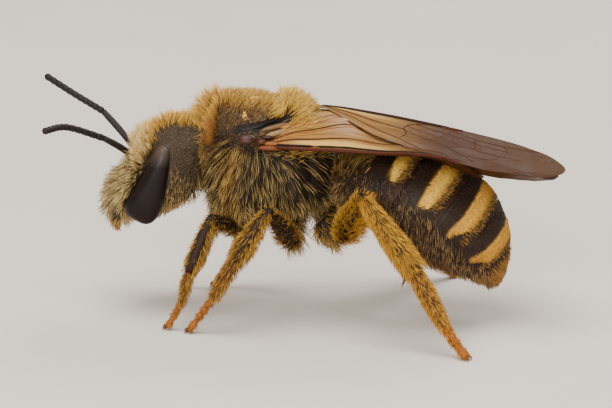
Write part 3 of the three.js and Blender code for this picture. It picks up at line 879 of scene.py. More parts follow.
def skin_tint(points, owners, names, colours):
    """Markings of the skin: a grey-brown crown, black-brown trunk, legs that turn orange at the foot, and
    painted shadow along the back's edges.
    """
    back_skin, gap_shadow, shin, foot = tones("skin")
    tint = np.tile(np.array(colours.shell), (len(points), 1))
    _, crown, _ = head_parts(points)
    tint = mix(tint, colours.crown, 0.9 * ease(-2.75, -3.1, points[:, 1]) * ease(-0.9, 0.4, crown))
    back = ease(5.4, 5.9, points[:, 2]) * ease(-3.1, -2.8, points[:, 1])
    tint = mix(tint, back_skin, back * 0.8)
    # painted shadow in the gap along the back's raised edge
    tint = mix(tint, gap_shadow, 0.92 * ease(0.26, 0.12, from_back_shadow(points)))
    for piece, tone, strength in (("tibia", shin, 0.8), ("metatarsus", foot, 0.9), ("toes", colours.toe, 1)):
        here = np.array([name == piece for name in names])[owners]
        tint = mix(tint, tone, here * strength)
    return tint


# ---- the abdomen ----


def leaned(u, angle):
    """The place along the abdomen of a ring line that leans, at an angle round from the back."""
    turn = np.minimum(np.abs(angle), LEAN_TO) - LEAN_FROM
    return np.clip(u - smooth(PLATE_LEAN, u)[:, 0] * turn, 0, 1)


def abdomen_at(u, angle, inset):
    """Points on the abdomen, an angle of 0 being the middle of the back and inset the hair's depth."""
    last = len(ABDOMEN) - 1
    here = smooth(ABDOMEN, u * last)
    way = unit(smooth(ABDOMEN, u * last + 0.02)[:, :2] - smooth(ABDOMEN, u * last - 0.02)[:, :2])
    wide = np.maximum(here[:, 2] - inset, here[:, 2] * 0.35)
    thick = np.maximum(here[:, 3] - inset, here[:, 3] * 0.35)
    height = thick * np.cos(angle)
    return np.column_stack(
        [wide * np.sin(angle), here[:, 0] - way[:, 1] * height, here[:, 1] + way[:, 0] * height]
    )


def coat_depth(angle):
    """How far the abdomen's plates lie inside the tips of its hair."""
    return 0.07 + 0.25 * ease(math.radians(70), math.radians(130), np.abs(angle))


def abdomen_skin(u, v):
    """The abdomen's plates as one smooth surface, u going from the waist to the tip."""
    angle = 2 * math.pi * (v - 0.5)
    return abdomen_at(leaned(u, angle), angle, coat_depth(angle))


def off_back(v):
    """How far round from the middle of the back a place of the abdomen is, in degrees."""
    return np.degrees(np.abs(2 * math.pi * (v - 0.5)))


PLATE_SIDES = 120  # points round a ring plate


def band_share(u, v):
    """1 on the felt bands and 0 on the bare plates."""
    turn = off_back(v)
    share = np.zeros_like(u)
    for front, rear, reach, front_bend, rear_bend in BANDS:
        first = front + front_bend * ease(reach - 25, reach, turn)
        last = rear + rear_bend * ease(reach - 22, reach, turn)
        inside = ease(first - 0.003, first + 0.006, u) * ease(last + 0.006, last - 0.004, u)
        share = np.maximum(share, inside * ease(reach + 5, reach - 6, turn))
    return share


def plate_shell(number):
    """A ring plate: it starts tucked inside the plate ahead and ends in a thin raised rim."""
    start, end = PLATE_RIMS[number], PLATE_RIMS[number + 1]
    tucked = max(start - 0.03, 0)
    places = [(tucked, 0.16), (start, 0.07)]
    for step in np.linspace(0.08, 1, 22):
        place = start + (end - start) * step
        raised = 0.02 * math.sin(math.pi * min(step * 1.1, 1)) - 0.012 * (step > 0.78)
        places.append((place, -raised))
    places += [(end + 0.0015, 0.008), (end + 0.001, 0.035), (end - 0.012, 0.07)]
    places = np.array(places)
    if number == len(PLATE_RIMS) - 2:
        places = places[:-3]
    run = evenly(places)

    def surface(u, v):
        angle = 2 * math.pi * (v - 0.5)
        here = np.column_stack([np.interp(u, run[:, 0], run[:, i]) for i in (1, 2)])
        fold = FOLD_DEPTH * np.exp(-((off_back(v) - FOLD_AT) / FOLD_WIDTH) ** 2)
        return abdomen_at(leaned(here[:, 0], angle), angle, coat_depth(angle) + here[:, 1] + fold)

    return shell(surface, len(places), PLATE_SIDES, 0), run
def plate_tint(run, colours):
    """The colours of a ring plate: gold under its felt band, brown elsewhere and redder at its rim."""
    under_felt, rim_tone = tones("ring plates")
    step, side = np.divmod(np.arange(len(run) * PLATE_SIDES), PLATE_SIDES)
    share = band_share(run[step, 1], side / PLATE_SIDES)
    tint = mix(colours.plate, under_felt, share * 0.95)
    rim = ease(len(run) - 7, len(run) - 4, step)
    tint = mix(tint, rim_tone, rim * 0.5 * (1 - share))
    return np.concatenate([tint, tint[:1], tint[-1:]])
# ---- coats ----


def scattered(surface, count, seed, weight=None, rows=160, sides=120):
    """Roots spread evenly over a surface, fewer where weight is low, with the way along it."""
    rng = np.random.default_rng(seed)
    u, v = np.meshgrid((np.arange(rows) + 0.5) / rows, (np.arange(sides) + 0.5) / sides, indexing="ij")
    u, v = u.ravel(), v.ravel()
    at, normal, along = facing(surface, u, v)
    share = np.linalg.norm(normal, axis=1)
    if weight is not None:
        share = share * np.maximum(weight(at, unit(normal), u, v), 0)
    chosen = rng.choice(len(u), count, p=share / share.sum())
    u = np.clip(u[chosen] + (rng.random(count) - 0.5) / rows, 0.001, 0.999)
    v = (v[chosen] + (rng.random(count) - 0.5) / sides) % 1
    at, normal, along = facing(surface, u, v)
    return SimpleNamespace(at=at, normal=unit(normal), flow=unit(along), u=u, v=v, uv=np.column_stack([u, v]))


def facing(surface, u, v, step=0.002):
    """Points of a surface, its outward normals, as long as the area they stand for, and the way along it."""
    at = surface(u, v)
    along = surface(np.minimum(u + step, 1), v) - surface(np.maximum(u - step, 0), v)
    around = surface(u, (v + step) % 1) - surface(u, (v - step) % 1)
    normal = np.cross(along, around)
    middle = (at + surface(u, (v + 0.5) % 1)) / 2
    inward = np.einsum("ij,ij->i", normal, at - middle) < 0
    normal[inward] *= -1
    return at, normal, along


def on_skin(points, quads, count, seed, weight):
    """Roots spread over the melted trunk, fewer where weight is low."""
    rng = np.random.default_rng(seed)
    corners = points[quads]
    middle = corners.mean(1)
    normal = np.cross(corners[:, 2] - corners[:, 0], corners[:, 3] - corners[:, 1])
    share = np.linalg.norm(normal, axis=1)
    normal = unit(normal)
    share = share * np.maximum(weight(middle, normal), 0)
    chosen = rng.choice(len(quads), count, p=share / share.sum())
    a, b = rng.random((2, count, 1))
    c = corners[chosen]
    at = (c[:, 0] * (1 - a) + c[:, 1] * a) * (1 - b) + (c[:, 3] * (1 - a) + c[:, 2] * a) * b
    return SimpleNamespace(at=at, normal=normal[chosen], flow=None, uv=None)


def along_skin(roots, heading):
    """Lays a heading, one for all or one for each root, flat on the skin."""
    heading = np.broadcast_to(np.asarray(heading, float), roots.at.shape)
    flat = heading - roots.normal * np.einsum("ij,ij->i", heading, roots.normal)[:, None]
    return unit(flat)


def round_unwrap(at, centre, pole):
    """Unwraps places round a pole through a centre, both sides of a seam under the body."""
    pole = unit(pole)
    away = at - np.asarray(centre)
    side = unit(np.cross(pole, ACROSS))
    turn = np.arctan2(away @ ACROSS, away @ side) / (2 * math.pi) + 0.5
    rise = np.arctan2(away @ pole, np.linalg.norm(away - np.outer(away @ pole, pole), axis=1)) / math.pi + 0.5
    return np.column_stack([turn, rise])


PATCH = 0.003  # width of one hair on the unwrapped coat
HAIR_SIDES = 3
HAIR_WAVER = 0.12  # how much the angles off the skin vary from hair to hair, in radians
FLOOR_GAP = 0.008  # hair that meets the floor lies this far above it


def grown(name, roots, look, sizes, seed):
    """Grows one tapering hair from each root and joins them into one mesh.

    look.lift and look.settle are how far a hair stands off the skin at its root and at its tip.
    """
    rng = np.random.default_rng(seed)
    count = len(roots.at)
    steps = np.array(look.steps)
    spread = 1 + look.vary * (2 * rng.random(count) - 1)
    length = np.broadcast_to(look.length, count) * spread * sizes.hair_length
    flow = unit(roots.flow + rng.normal(0, look.sway, (count, 3)))
    flow = along_skin(roots, flow)

    def off_skin(angle):
        angle = np.broadcast_to(angle, count) + rng.normal(0, HAIR_WAVER, count)
        return roots.normal * np.sin(angle)[:, None] + flow * np.cos(angle)[:, None]

    first, last = off_skin(look.lift), off_skin(look.settle)
    last = unit(last + rng.normal(0, look.sway * 0.6, (count, 3)) + np.array(look.pull))
    start = roots.at - roots.normal * look.sink

    def hair_at(t):
        return start + length[:, None] * (first * (t - t * t / 2) + last * (t * t / 2))

    leaders = tuft_leaders(roots.at, look.tuft, rng)
    side = unit(np.cross(first + last * 0.3, roots.normal + rng.normal(0, 0.2, (count, 3))))
    other = unit(np.cross(unit(first + last), side))
    half = look.width / 2 * (0.75 + 0.5 * rng.random(count)) * sizes.hair_width / STANDARD_HAIR
    rings, shares = [], []
    for t in [*steps, 1.0]:
        middle = hair_at(t)
        middle = middle + look.clump * t**1.5 * (middle[leaders] - middle)
        if t == 1.0:
            rings.append(middle[:, None])
            shares.append([t])
            continue
        radius = half * (1 - 0.8 * t**3)
        for corner in range(HAIR_SIDES):
            turn = 2 * math.pi * corner / HAIR_SIDES
            arm = side * math.cos(turn) + other * math.sin(turn)
            rings.append((middle + arm * radius[:, None])[:, None])
            shares.append([t])
    points = np.concatenate(rings, axis=1)
    low, high = np.array(CAD_BOX) / MM  # no hair reaches past the box of the solids
    points = np.clip(points, low + (0, 0, FLOOR_GAP), high)
    share = np.concatenate(shares)
    each = len(share)
    pattern = hair_pattern(len(steps))
    triangles = (np.arange(count)[:, None, None] * each + pattern[None]).reshape(-1, 3)
    mesh = mesh_of(name, points.reshape(-1, 3), (), triangles)
    glow = 1 + look.mottle * (rng.random(count) - 0.5) * 2
    glow *= 1 + 0.5 * look.mottle * (rng.random(count)[leaders] - 0.5) * 2
    root_colour = np.broadcast_to(look.root, (count, 3))
    bright = (1 - look.dull * rng.random(count)) ** 1.6
    tip_colour = root_colour + (np.broadcast_to(look.tip, (count, 3)) - root_colour) * bright[:, None]
    blend = np.clip(share / look.dark_root, 0, 1)[None, :, None] ** 1.2
    colours = (root_colour[:, None] * (1 - blend) + tip_colour[:, None] * blend) * glow[:, None, None]
    tinted(mesh, "strand", np.clip(colours, 0, 1).reshape(-1, 3))
    patched(mesh, roots.uv, pattern, share)
    return placed(name, mesh)


def tuft_leaders(at, per_tuft, rng):
    """For each hair, the number of the hair that its tuft leans to."""
    chosen = rng.permutation(len(at))[: max(len(at) // per_tuft, 1)]
    tree = KDTree(len(chosen))
    for number in chosen:
        tree.insert(at[number], int(number))
    tree.balance()
    return np.array([tree.find(point)[1] for point in at])


def hair_pattern(rings):
    """The triangles of one hair: its sides, its tip and the cap at its root."""
    rows = []
    for ring_number in range(rings - 1):
        for corner in range(HAIR_SIDES):
            here = ring_number * HAIR_SIDES + corner
            beside = ring_number * HAIR_SIDES + (corner + 1) % HAIR_SIDES
            rows.append((here, beside, beside + HAIR_SIDES))
            rows.append((here, beside + HAIR_SIDES, here + HAIR_SIDES))
    last = (rings - 1) * HAIR_SIDES
    for corner in range(HAIR_SIDES):
        rows.append((last + corner, last + (corner + 1) % HAIR_SIDES, rings * HAIR_SIDES))
    rows.append((0, 2, 1))
    return np.array(rows)


def patched(mesh, uv, pattern, share):
    """Gives each hair its own small patch at its root's place on the unwrapped skin."""
    across = np.append(np.tile(np.linspace(0, 1, HAIR_SIDES), len(share) // HAIR_SIDES), 0.5)
    corner = np.column_stack([across[pattern.ravel()], share[pattern.ravel()]])
    corner[-3:] = ((0, 0), (1, 0), (0.5, 1))
    base = 0.004 + np.clip(uv, 0, 1) * 0.988
    layer = mesh.uv_layers.new(name="OFBake")
    layer.data.foreach_set("uv", (base[:, None] + corner[None] * PATCH).astype(np.float32).ravel())


LONG = (0.0, 0.38, 0.72)
SHORT = (0.0, 0.5)


def look_of(length, width, lift, settle, root, tip, **more):
    """The look of one coat; angles off the skin are given in degrees."""
    settings = dict(
        steps=LONG, vary=0.25, sway=0.14, sink=0.02, clump=0.35, tuft=7, mottle=0.22, dull=0.4,
        dark_root=0.55, pull=(0.0, 0.0, 0.0),
    )
    settings.update(more)
    return SimpleNamespace(
        length=length, width=width, lift=np.radians(lift), settle=np.radians(settle),
        root=root, tip=tip, **settings,
    )


# ---- wings ----


def wing_height(side, x, y):
    """Height of a forewing at a place seen from above; the right wing lies on the left one."""
    edge = smooth(FOREWINGS[side], y)[:, 0]
    height = smooth(WING_TOP[side], y)[:, 0] - smooth(WING_FALL[side], y)[:, 0] * np.abs(x - edge)
    if side == "right":
        return height
    rim = smooth(FOREWINGS["right"], y)[:, 1]
    roof = wing_height("right", np.minimum(x, rim), y) - WING_LIE + 0.6 * np.maximum(x - rim, 0)
    gap = height - roof
    return height - 0.5 * (gap + np.sqrt(gap * gap + 0.004))


def wing_place(side, outline, drop, s, c):
    """A point of a wing, s going from its base to its tip and c from its leading to its trailing edge."""
    y = outline[0][0] + (outline[-1][0] - outline[0][0]) * s
    edges = smooth(outline, y)
    full = dome(2 * np.clip(s, 0.0005, 0.9995) - 1, 16)
    middle, half = edges.mean(1), (edges[:, 1] - edges[:, 0]) / 2
    x = middle + half * full * (2 * c - 1)
    pleats = 0.03 * np.sin(3.2 * math.pi * c) * np.sin(math.pi * np.clip(s, 0, 1)) * (1 - 0.4 * s)
    return np.column_stack([x, y, wing_height(side, x, y) - drop + pleats])


def wing_outline(side, rear):
    """The outline of one wing of a side."""
    if not rear:
        return FOREWINGS[side]
    return tuple((y, SIDES[side] * lead, SIDES[side] * trail) for y, lead, trail in HINDWING)


def wing_sheet(side, rear):
    """The thin closed skin of a wing as a surface: u from base to tip, v over it and back under it."""
    outline = wing_outline(side, rear)
    drop = HIND_DROP if rear else 0.0

    def surface(u, v):
        c = 0.5 - 0.5 * np.cos(2 * math.pi * v)
        _, face = ring(v, 0.35)
        point = wing_place(side, outline, drop, u, c)
        point[:, 2] += face * MEMBRANE / 2
        return point

    return surface


def vein_tube(side, rear, half, stops):
    """One vein as a flattened tube that swells out of the wing's skin on both sides."""
    line = smooth(evenly(stops), np.linspace(0, 1, 18))
    drop = HIND_DROP if rear else 0.0
    points = wing_place(side, wing_outline(side, rear), drop, line[:, 0], line[:, 1])
    return rod(points, (half * 0.8, half * 0.8, half * 0.6), 0.8)


def wing_tint(points, side, rear, colours):
    """Amber at the base, smoky and a little clearer toward the tip, darkest along the front edge, with
    painted light and shade in stripes along the pleats and a painted highlight on a pale cell near the base.
    """
    pleat, furrow_shade, cell_highlight, front_edge = tones("wings")
    outline = wing_outline(side, rear)
    s = (points[:, 1] - outline[0][0]) / (outline[-1][0] - outline[0][0])
    rims = smooth(outline, points[:, 1])
    edge = np.abs(points[:, 0] - rims[:, 0])
    across = edge / np.maximum(np.abs(rims[:, 1] - rims[:, 0]), 0.1)
    rim = ease(0.24, 0.1, edge) * ease(0.75, 0.5, s)
    # stripes of painted light and shade, standing for the light on the wing's pleats
    pleats = 0.5 + 0.5 * np.sin(44 * across + 9 * s)
    # a pale cell near the base, lit up with a painted highlight
    cell = ease(0.06, 0.1, across) * ease(0.26, 0.2, across) * ease(0.1, 0.16, s) * ease(0.5, 0.38, s)
    tint = mix(colours.amber, pleat, pleats * 0.8)
    tint = mix(tint, furrow_shade, ease(0.55, 1.0, pleats) * ease(0.2, 0.3, across) * 0.75)
    tint = mix(tint, cell_highlight, cell * 0.85)
    tint = mix(tint, colours.smoke, ease(0.3, 0.62, s))
    tint = mix(tint, front_edge, 0.85 * rim)
    opacity = 0.86 - 0.03 * ease(0.3, 0.6, s) + 0.08 * cell + 0.14 * rim
    return np.column_stack([tint, np.minimum(opacity, 0.97)])


# ---- one operator for each group of pieces ----


class BEE_OT_stage(bpy.types.Operator):
    """Lays the pale floor, hangs the soft lights and sets up the camera"""

    bl_idname = "bee.stage"
    bl_label = "Floor, lights and camera"

    def execute(self, context):
        alone()
        bpy.ops.mesh.primitive_plane_add(size=FLOOR_SIZE, location=(0, 0, 0))
        floor = context.object
        floor.name = "floor"
        floor.data.materials.append(floor_material(context.scene.bee_colours))
        world = bpy.data.worlds.new("studio")
        context.scene.world = world
        world.use_nodes = True
        sky = world.node_tree.nodes["Background"]
        sky.inputs["Color"].default_value = (*tones("sky")[0], 1)
        sky.inputs["Strength"].default_value = SKY_STRENGTH
        for name, (place, size, power) in LIGHTS.items():
            bpy.ops.object.light_add(type="AREA", location=place)
            light = context.object
            light.name = name
            light.data.size = size
            light.data.energy = power
            light.rotation_euler = (Vector(LIGHTS_AIM) - Vector(place)).to_track_quat("-Z", "Y").to_euler()
        turn, rise = math.radians(CAMERA_TURN), math.radians(CAMERA_RISE)
        back = Vector((math.sin(turn) * math.cos(rise), -math.cos(turn) * math.cos(rise), math.sin(rise)))
        bpy.ops.object.camera_add()
        camera = context.object
        camera.name = "camera"
        camera.data.lens = CAMERA_LENS
        reach = FRAME_WIDTH * MM * CAMERA_LENS / camera.data.sensor_width
        camera.location = Vector(CAMERA_AIM) * MM + back * reach
        camera.rotation_mode = "QUATERNION"
        level = (-back).to_track_quat("-Z", "Y")
        camera.rotation_quaternion = level @ Quaternion((0, 0, 1), math.radians(CAMERA_ROLL))
        camera.data.clip_start = 0.001
        context.scene.camera = camera
        return {"FINISHED"}


made = SimpleNamespace()  # the trunk's points and quads, which the coats grow from


class BEE_OT_skin(bpy.types.Operator):
    """Melts the head, trunk and hips into one skin and joins the legs to it"""

    bl_idname = "bee.skin"
    bl_label = "Skin of head, trunk and legs"

    def execute(self, context):
        colours = context.scene.bee_colours
        made.points, made.quads = melted(context.scene.bee_sizes)
        shells, names = [(made.points, made.quads, np.empty((0, 3), int))], ["trunk"]
        for leg in LEGS:
            for piece, surface in leg_surfaces(leg):
                shells.append(shell(surface, 9 if piece == "toes" else 20, 16))
                names.append(piece)
        legs = [f"leg_{leg}_{piece}" for leg in LEGS for piece in LEG_PIECES]
        built(
            "bee_skin", shells, "hairy_thorax", shell_material("pitted satin horn", 0.55, 0.07, 0.012, 0.14),
            "head", "thorax", "propodeum", *legs,
            tint=lambda points, owners: skin_tint(points, owners, names, colours),
        )
        return {"FINISHED"}


def eye_bulge(sign):
    """A long eye on the side of the head, with a straight front edge and a slanting rear one."""

    def surface(u, v):
        t = -np.cos(math.pi * u)
        width = EYE.chin + (EYE.crown - EYE.chin) * (t + 1) / 2
        c, s = ring(v, 0.85)
        across = sign * EYE.out + EYE.bulge * dome(t, 3.2) * c
        face = EYE.front - width / 2 + width / 2 * np.where(s > 0, dome(t, 5), dome(t, 2.4)) * s
        return on_head(across, EYE.along + t * EYE.half, face)

    return surface


class BEE_OT_eyes(bpy.types.Operator):
    """Makes the two large eyes and the three small ones on the crown"""

    bl_idname = "bee.eyes"
    bl_label = "Eyes"

    def execute(self, context):
        glass = eye_material(context.scene.bee_colours)
        for side, sign in SIDES.items():
            built(f"eye_{side}_dome", [shell(eye_bulge(sign), 56, 64, 0.004)], "eye", glass, f"eye_{side}")
        beads = []
        across, crown, face = head_parts(made.points)
        for away, up in SMALL_EYES:
            miss = (across - away) ** 2 + (crown - up) ** 2 + np.where(face > 0, 0, 9)
            spot = Vector(made.points[int(np.argmin(miss))] * MM)
            alone()
            bpy.ops.mesh.primitive_uv_sphere_add(
                segments=24, ring_count=14, radius=SMALL_EYE * MM, location=spot
            )
            beads.append(context.object)
        finished(fused("small_eyes", beads), "eye", glassy_material("clear amber horn", "small eyes", 0.08))
        return {"FINISHED"}


class BEE_OT_feelers(bpy.types.Operator):
    """Makes the two feelers, each a long shaft and eleven short links"""

    bl_idname = "bee.feelers"
    bl_label = "Feelers"

    def execute(self, context):
        colours = context.scene.bee_colours
        dull = shell_material("dull downy horn", 0.6, 0.03, 0.006, 0.25)
        for side, (socket, elbow, middle, tip) in FEELERS.items():
            start = on_head(*socket)
            shaft = np.array([start, (start + elbow) / 2 + (0, 0, 0.06), elbow])
            shells = [shell(rod(shaft, (0.07, 0.085, 0.1, 0.1, 0.09)), 20, 16)]
            lash = np.column_stack([(0, 0.5, 1), (elbow, middle, tip)])
            for link in range(FEELER_LINKS):
                points = smooth(lash, np.clip(np.array([link, link + 0.5, link + 1.03]) / FEELER_LINKS, 0, 1))
                end = 0.06 if link == FEELER_LINKS - 1 else 0.092
                neck = 0.05 if link < 2 else 0.078
                shells.append(shell(rod(points, (neck, 0.098, 0.103, 0.1, end)), 12, 16, 0.01))
            built(
                f"feeler_{side}", shells, "horn", dull, f"antenna_{side}_scape", f"antenna_{side}_flagellum",
                tint=lambda points, owners: np.tile(np.array(colours.horn), (len(points), 1)),
            )
        return {"FINISHED"}


def jaw_rod(sign):
    """A curved jaw that tapers to its tip."""
    route = [on_head(sign * across, crown, face) for across, crown, face in JAW]
    return rod(route, (0.19, 0.15, 0.11, 0.04), 0.7)


class BEE_OT_jaws(bpy.types.Operator):
    """Makes the two jaws, crossed under the face"""

    bl_idname = "bee.jaws"
    bl_label = "Jaws"

    def execute(self, context):
        polish = glassy_material("polished red-brown horn", "jaws", 0.4, 0.3)
        for side, sign in SIDES.items():
            built(f"jaw_{side}", [shell(jaw_rod(sign), 24, 20, 0.01)], "horn", polish, f"mandible_{side}")
        return {"FINISHED"}


class BEE_OT_plates(bpy.types.Operator):
    """Makes the six ring plates of the abdomen, each slid under the rim of the one ahead"""

    bl_idname = "bee.plates"
    bl_label = "Ring plates"

    def execute(self, context):
        colours = context.scene.bee_colours
        satin = shell_material("finely pitted satin horn", 0.58, 0.045, 0.005, 0.18)
        for number in range(len(PLATE_RIMS) - 1):
            plate, run = plate_shell(number)
            built(
                f"plate_{number + 1}", [plate], "banded_abdomen", satin, f"abdomen_{number + 1}",
                tint=lambda points, owners: plate_tint(run, colours),
            )
        return {"FINISHED"}


class BEE_OT_wings(bpy.types.Operator):
    """Makes the four thin wings with their veins and the shell caps over their roots"""

    bl_idname = "bee.wings"
    bl_label = "Wings"

    def execute(self, context):
        skin = wing_material()
        horn = shell_material("smooth red-brown vein horn", 0.55, 0.1, 0.002, 0.1)
        cap = glassy_material("polished brown cap", "wing caps", 0.42, 0.22)
        root = shell_material("wet orange-brown root horn", 0.42, 0.16, 0.012, 0.2)
        for side, sign in SIDES.items():
            for rear, label in ((False, "forewing"), (True, "hindwing")):
                self.wing(context.scene.bee_colours, side, rear, f"{label}_{side}", skin, horn)
            self.cap(context, side, sign, cap)
            self.root(side, sign, root)
        return {"FINISHED"}

    def wing(self, colours, side, rear, name, skin, horn):
        """The thin skin of one wing and its raised veins."""
        rows, around = (90, 64) if rear else (150, 96)
        sheet = shell(wing_sheet(side, rear), rows, around, 0.0)
        built(
            f"{name}_skin", [sheet], "wing", skin, name,
            tint=lambda points, owners: wing_tint(points, side, rear, colours),
        )
        veins = HIND_VEINS if rear else FORE_VEINS
        tubes = [shell(vein_tube(side, rear, half, stops), 26, 10) for half, *stops in veins.values()]
        browns = np.array([linear(VEIN_TONES.get(vein, VEIN_TONE)) for vein in veins])
        built(f"{name}_veins", tubes, "wing", horn, tint=lambda points, owners: browns[owners])

    def root(self, side, sign, material):
        """The small plates and the folds of skin at a wing's root, and a thin black rod of painted shadow
        beside them.
        """
        mirror = (sign, 1, 1)
        lobes = [shell(ball(np.array(place) * mirror, radii), 14, 18) for _, place, radii in WING_LOBES]
        for _, half, *route in WING_FOLDS:
            fold = rod(np.array(route) * mirror, (half * 0.5, half, half, half * 0.6), 0.7)
            lobes.append(shell(fold, 20, 12))
        browns = np.array([linear(row[0]) for row in (*WING_LOBES, *WING_FOLDS)])
        built(f"wing_root_{side}", lobes, "wing", material, tint=lambda points, owners: browns[owners])

    def cap(self, context, side, sign, material):
        """The domed cap over a wing's root."""
        alone()
        place = Vector((sign * TEGULA_AT[0], TEGULA_AT[1], TEGULA_AT[2])) * MM
        bpy.ops.mesh.primitive_uv_sphere_add(segments=36, ring_count=20, radius=MM, location=place)
        piece = context.object
        piece.name = f"wing_cap_{side}"
        bpy.ops.object.mode_set(mode="EDIT")
        bpy.ops.mesh.select_all(action="SELECT")
        bpy.ops.transform.resize(value=TEGULA_SIZE, center_override=place)
        bpy.ops.transform.rotate(value=-sign * TEGULA_LEAN, orient_axis="Y", center_override=place)
        bpy.ops.object.mode_set(mode="OBJECT")
        bpy.ops.object.transform_apply(location=True, rotation=True, scale=True)
        bpy.ops.object.shade_smooth()
        finished(outward(piece), "shell", material, f"tegula_{side}")


class BEE_OT_claws(bpy.types.Operator):
    """Makes the paired claws of the feet and the spurs of the shins"""

    bl_idname = "bee.claws"
    bl_label = "Claws and spurs"

    def execute(self, context):
        shells = []
        for name, joints in LEGS.items():
            joints = np.array(joints)
            toe = joints[5]
            way = unit((joints[5] - joints[4]) * (1, 1, 0))
            side = np.cross(way, (0, 0, 1))
            for sign in SIDES.values():
                tip = toe + way * 0.14 + side * sign * 0.09 - (0, 0, toe[2] - 0.012)
                bend = toe + way * 0.1 + side * sign * 0.08 + (0, 0, 0.02)
                shells.append(shell(rod((toe, bend, tip), (0.04, 0.035, 0.022, 0.008)), 10, 8))
            pad = ball(toe + way * 0.06 - (0, 0, 0.03), (0.05, 0.05, 0.04))
            shells.append(shell(pad, 8, 10))
            ankle, heel = joints[3], joints[4]
            shin = unit(ankle - joints[2])
            for sign in (1,) if name.startswith("fore") else (1, -1):
                lean = -1.5 if name.startswith("hind") else 0.25
                spread_way = unit(heel - ankle + np.array([sign * 0.35, lean, 0.0]))
                root = ankle + np.cross(shin, (0, 0, 1)) * 0.08 * sign + np.array([0, 0.1 * lean, -0.08])
                reach = 0.52 if name.startswith("hind") else 0.4
                middle = root + spread_way * reach * 0.45
                spur = rod((root, middle, root + spread_way * reach), (0.028, 0.025, 0.004))
                shells.append(shell(spur, 8, 8))
        built("claws", shells, "horn", glassy_material("clear red-amber horn", "claws", 0.25))
        return {"FINISHED"}


class BEE_OT_pollen(bpy.types.Operator):
    """Sticks crumbs of pollen in the hair of the back"""

    bl_idname = "bee.pollen"
    bl_label = "Pollen crumbs"

    def execute(self, context):
        rng = np.random.default_rng(context.scene.bee_sizes.seed)
        crumbs = []
        for centre, spread, count in POLLEN:
            for _ in range(count):
                place = (np.array(centre) + rng.normal(0, spread / 2, 3)) * MM
                alone()
                bpy.ops.mesh.primitive_ico_sphere_add(
                    subdivisions=2, radius=rng.uniform(0.03, 0.055) * MM, location=place
                )
                crumbs.append(context.object)
        finished(fused("pollen", crumbs), "hairy_thorax", pollen_material())
        return {"FINISHED"}


def coat(context, name, slot, roots, look, fur):
    """Grows a coat and finishes it as a piece."""
    seed = context.scene.bee_sizes.seed + sum(map(ord, name))
    return finished(grown(name, roots, look, context.scene.bee_sizes, seed), slot, fur)
def gathered(lots):
    """Several lots of roots as one."""
    fields = {key: np.concatenate([getattr(lot, key) for lot in lots]) for key in vars(lots[0])}
    return SimpleNamespace(**fields)
def trunk_roots(context, count, seed, weight, heading, centre, pole):
    """Roots on the melted trunk that point along a heading, with an unwrap round a pole."""
    count = int(count * context.scene.bee_sizes.hair_count)
    roots = on_skin(made.points, made.quads, count, seed, weight)
    roots.flow = along_skin(roots, heading(roots.at) if callable(heading) else heading)
    roots.uv = round_unwrap(roots.at, centre, pole)
    return roots


def under_eye(at):
    """True where the skin of the head is covered by an eye."""
    across, crown, face = head_parts(at)
    t = np.clip((crown - EYE.along) / EYE.half, -1, 1)
    width = EYE.chin + (EYE.crown - EYE.chin) * (t + 1) / 2
    inside = (face < EYE.front + 0.02) & (face > EYE.front - width * (0.5 + 0.5 * dome(t, 2.2)))
    return inside & (np.abs(across) > 0.95) & (np.abs(crown - EYE.along) < EYE.half)


def on_the_head(at):
    """1 on the bare skin of the head and 0 on the neck and the trunk."""
    return ease(-3.02, -3.2, at[:, 1] - 0.3 * (at[:, 2] - HEAD_AT[2])) * ~under_eye(at)


def on_the_trunk(at):
    """1 on the thorax and 0 on the head and the waist."""
    return ease(-3.25, -3.05, at[:, 1] - 0.3 * (at[:, 2] - HEAD_AT[2])) * ease(1.15, 0.95, at[:, 1])


def clear_of_wings(at):
    """1 where hair is free to stand, and about 0 under the wing roots and along the painted shadow line at
    the back's edge.
    """
    near = to_left(at)
    rim = smooth(FOREWINGS["left"], near[:, 1])[:, 1]
    along = ease(-1.25, -1.0, near[:, 1]) * ease(-0.25, -0.5, near[:, 1])
    under = ease(0.0, 0.1, near[:, 0] - rim) * along * ease(5.15, 5.3, near[:, 2])
    return (1 - 0.9 * under) * ease(0.08, 0.18, from_back_shadow(at))


def from_sockets(at):
    """Ways that fan out over the face from between the feelers."""
    across, _, _ = head_parts(at)
    middle = on_head(*SOCKET) - ACROSS * SOCKET[0]
    return at - middle - ACROSS * SOCKET[0] * np.clip(across, -1, 1)[:, None]


def from_wing(at):
    """Ways that hang down in front of the wing roots and fan back over the sides behind them."""
    root = np.abs(WING_ROOT) * np.where(at[:, :1] > 0, 1, -1) * (1, 0, 0) + WING_ROOT * (0, 1, 1)
    away = at - root - (0, 0, 0.6)
    away[:, 1] *= np.where(away[:, 1] < 0, 0.3, 0.85)
    return away


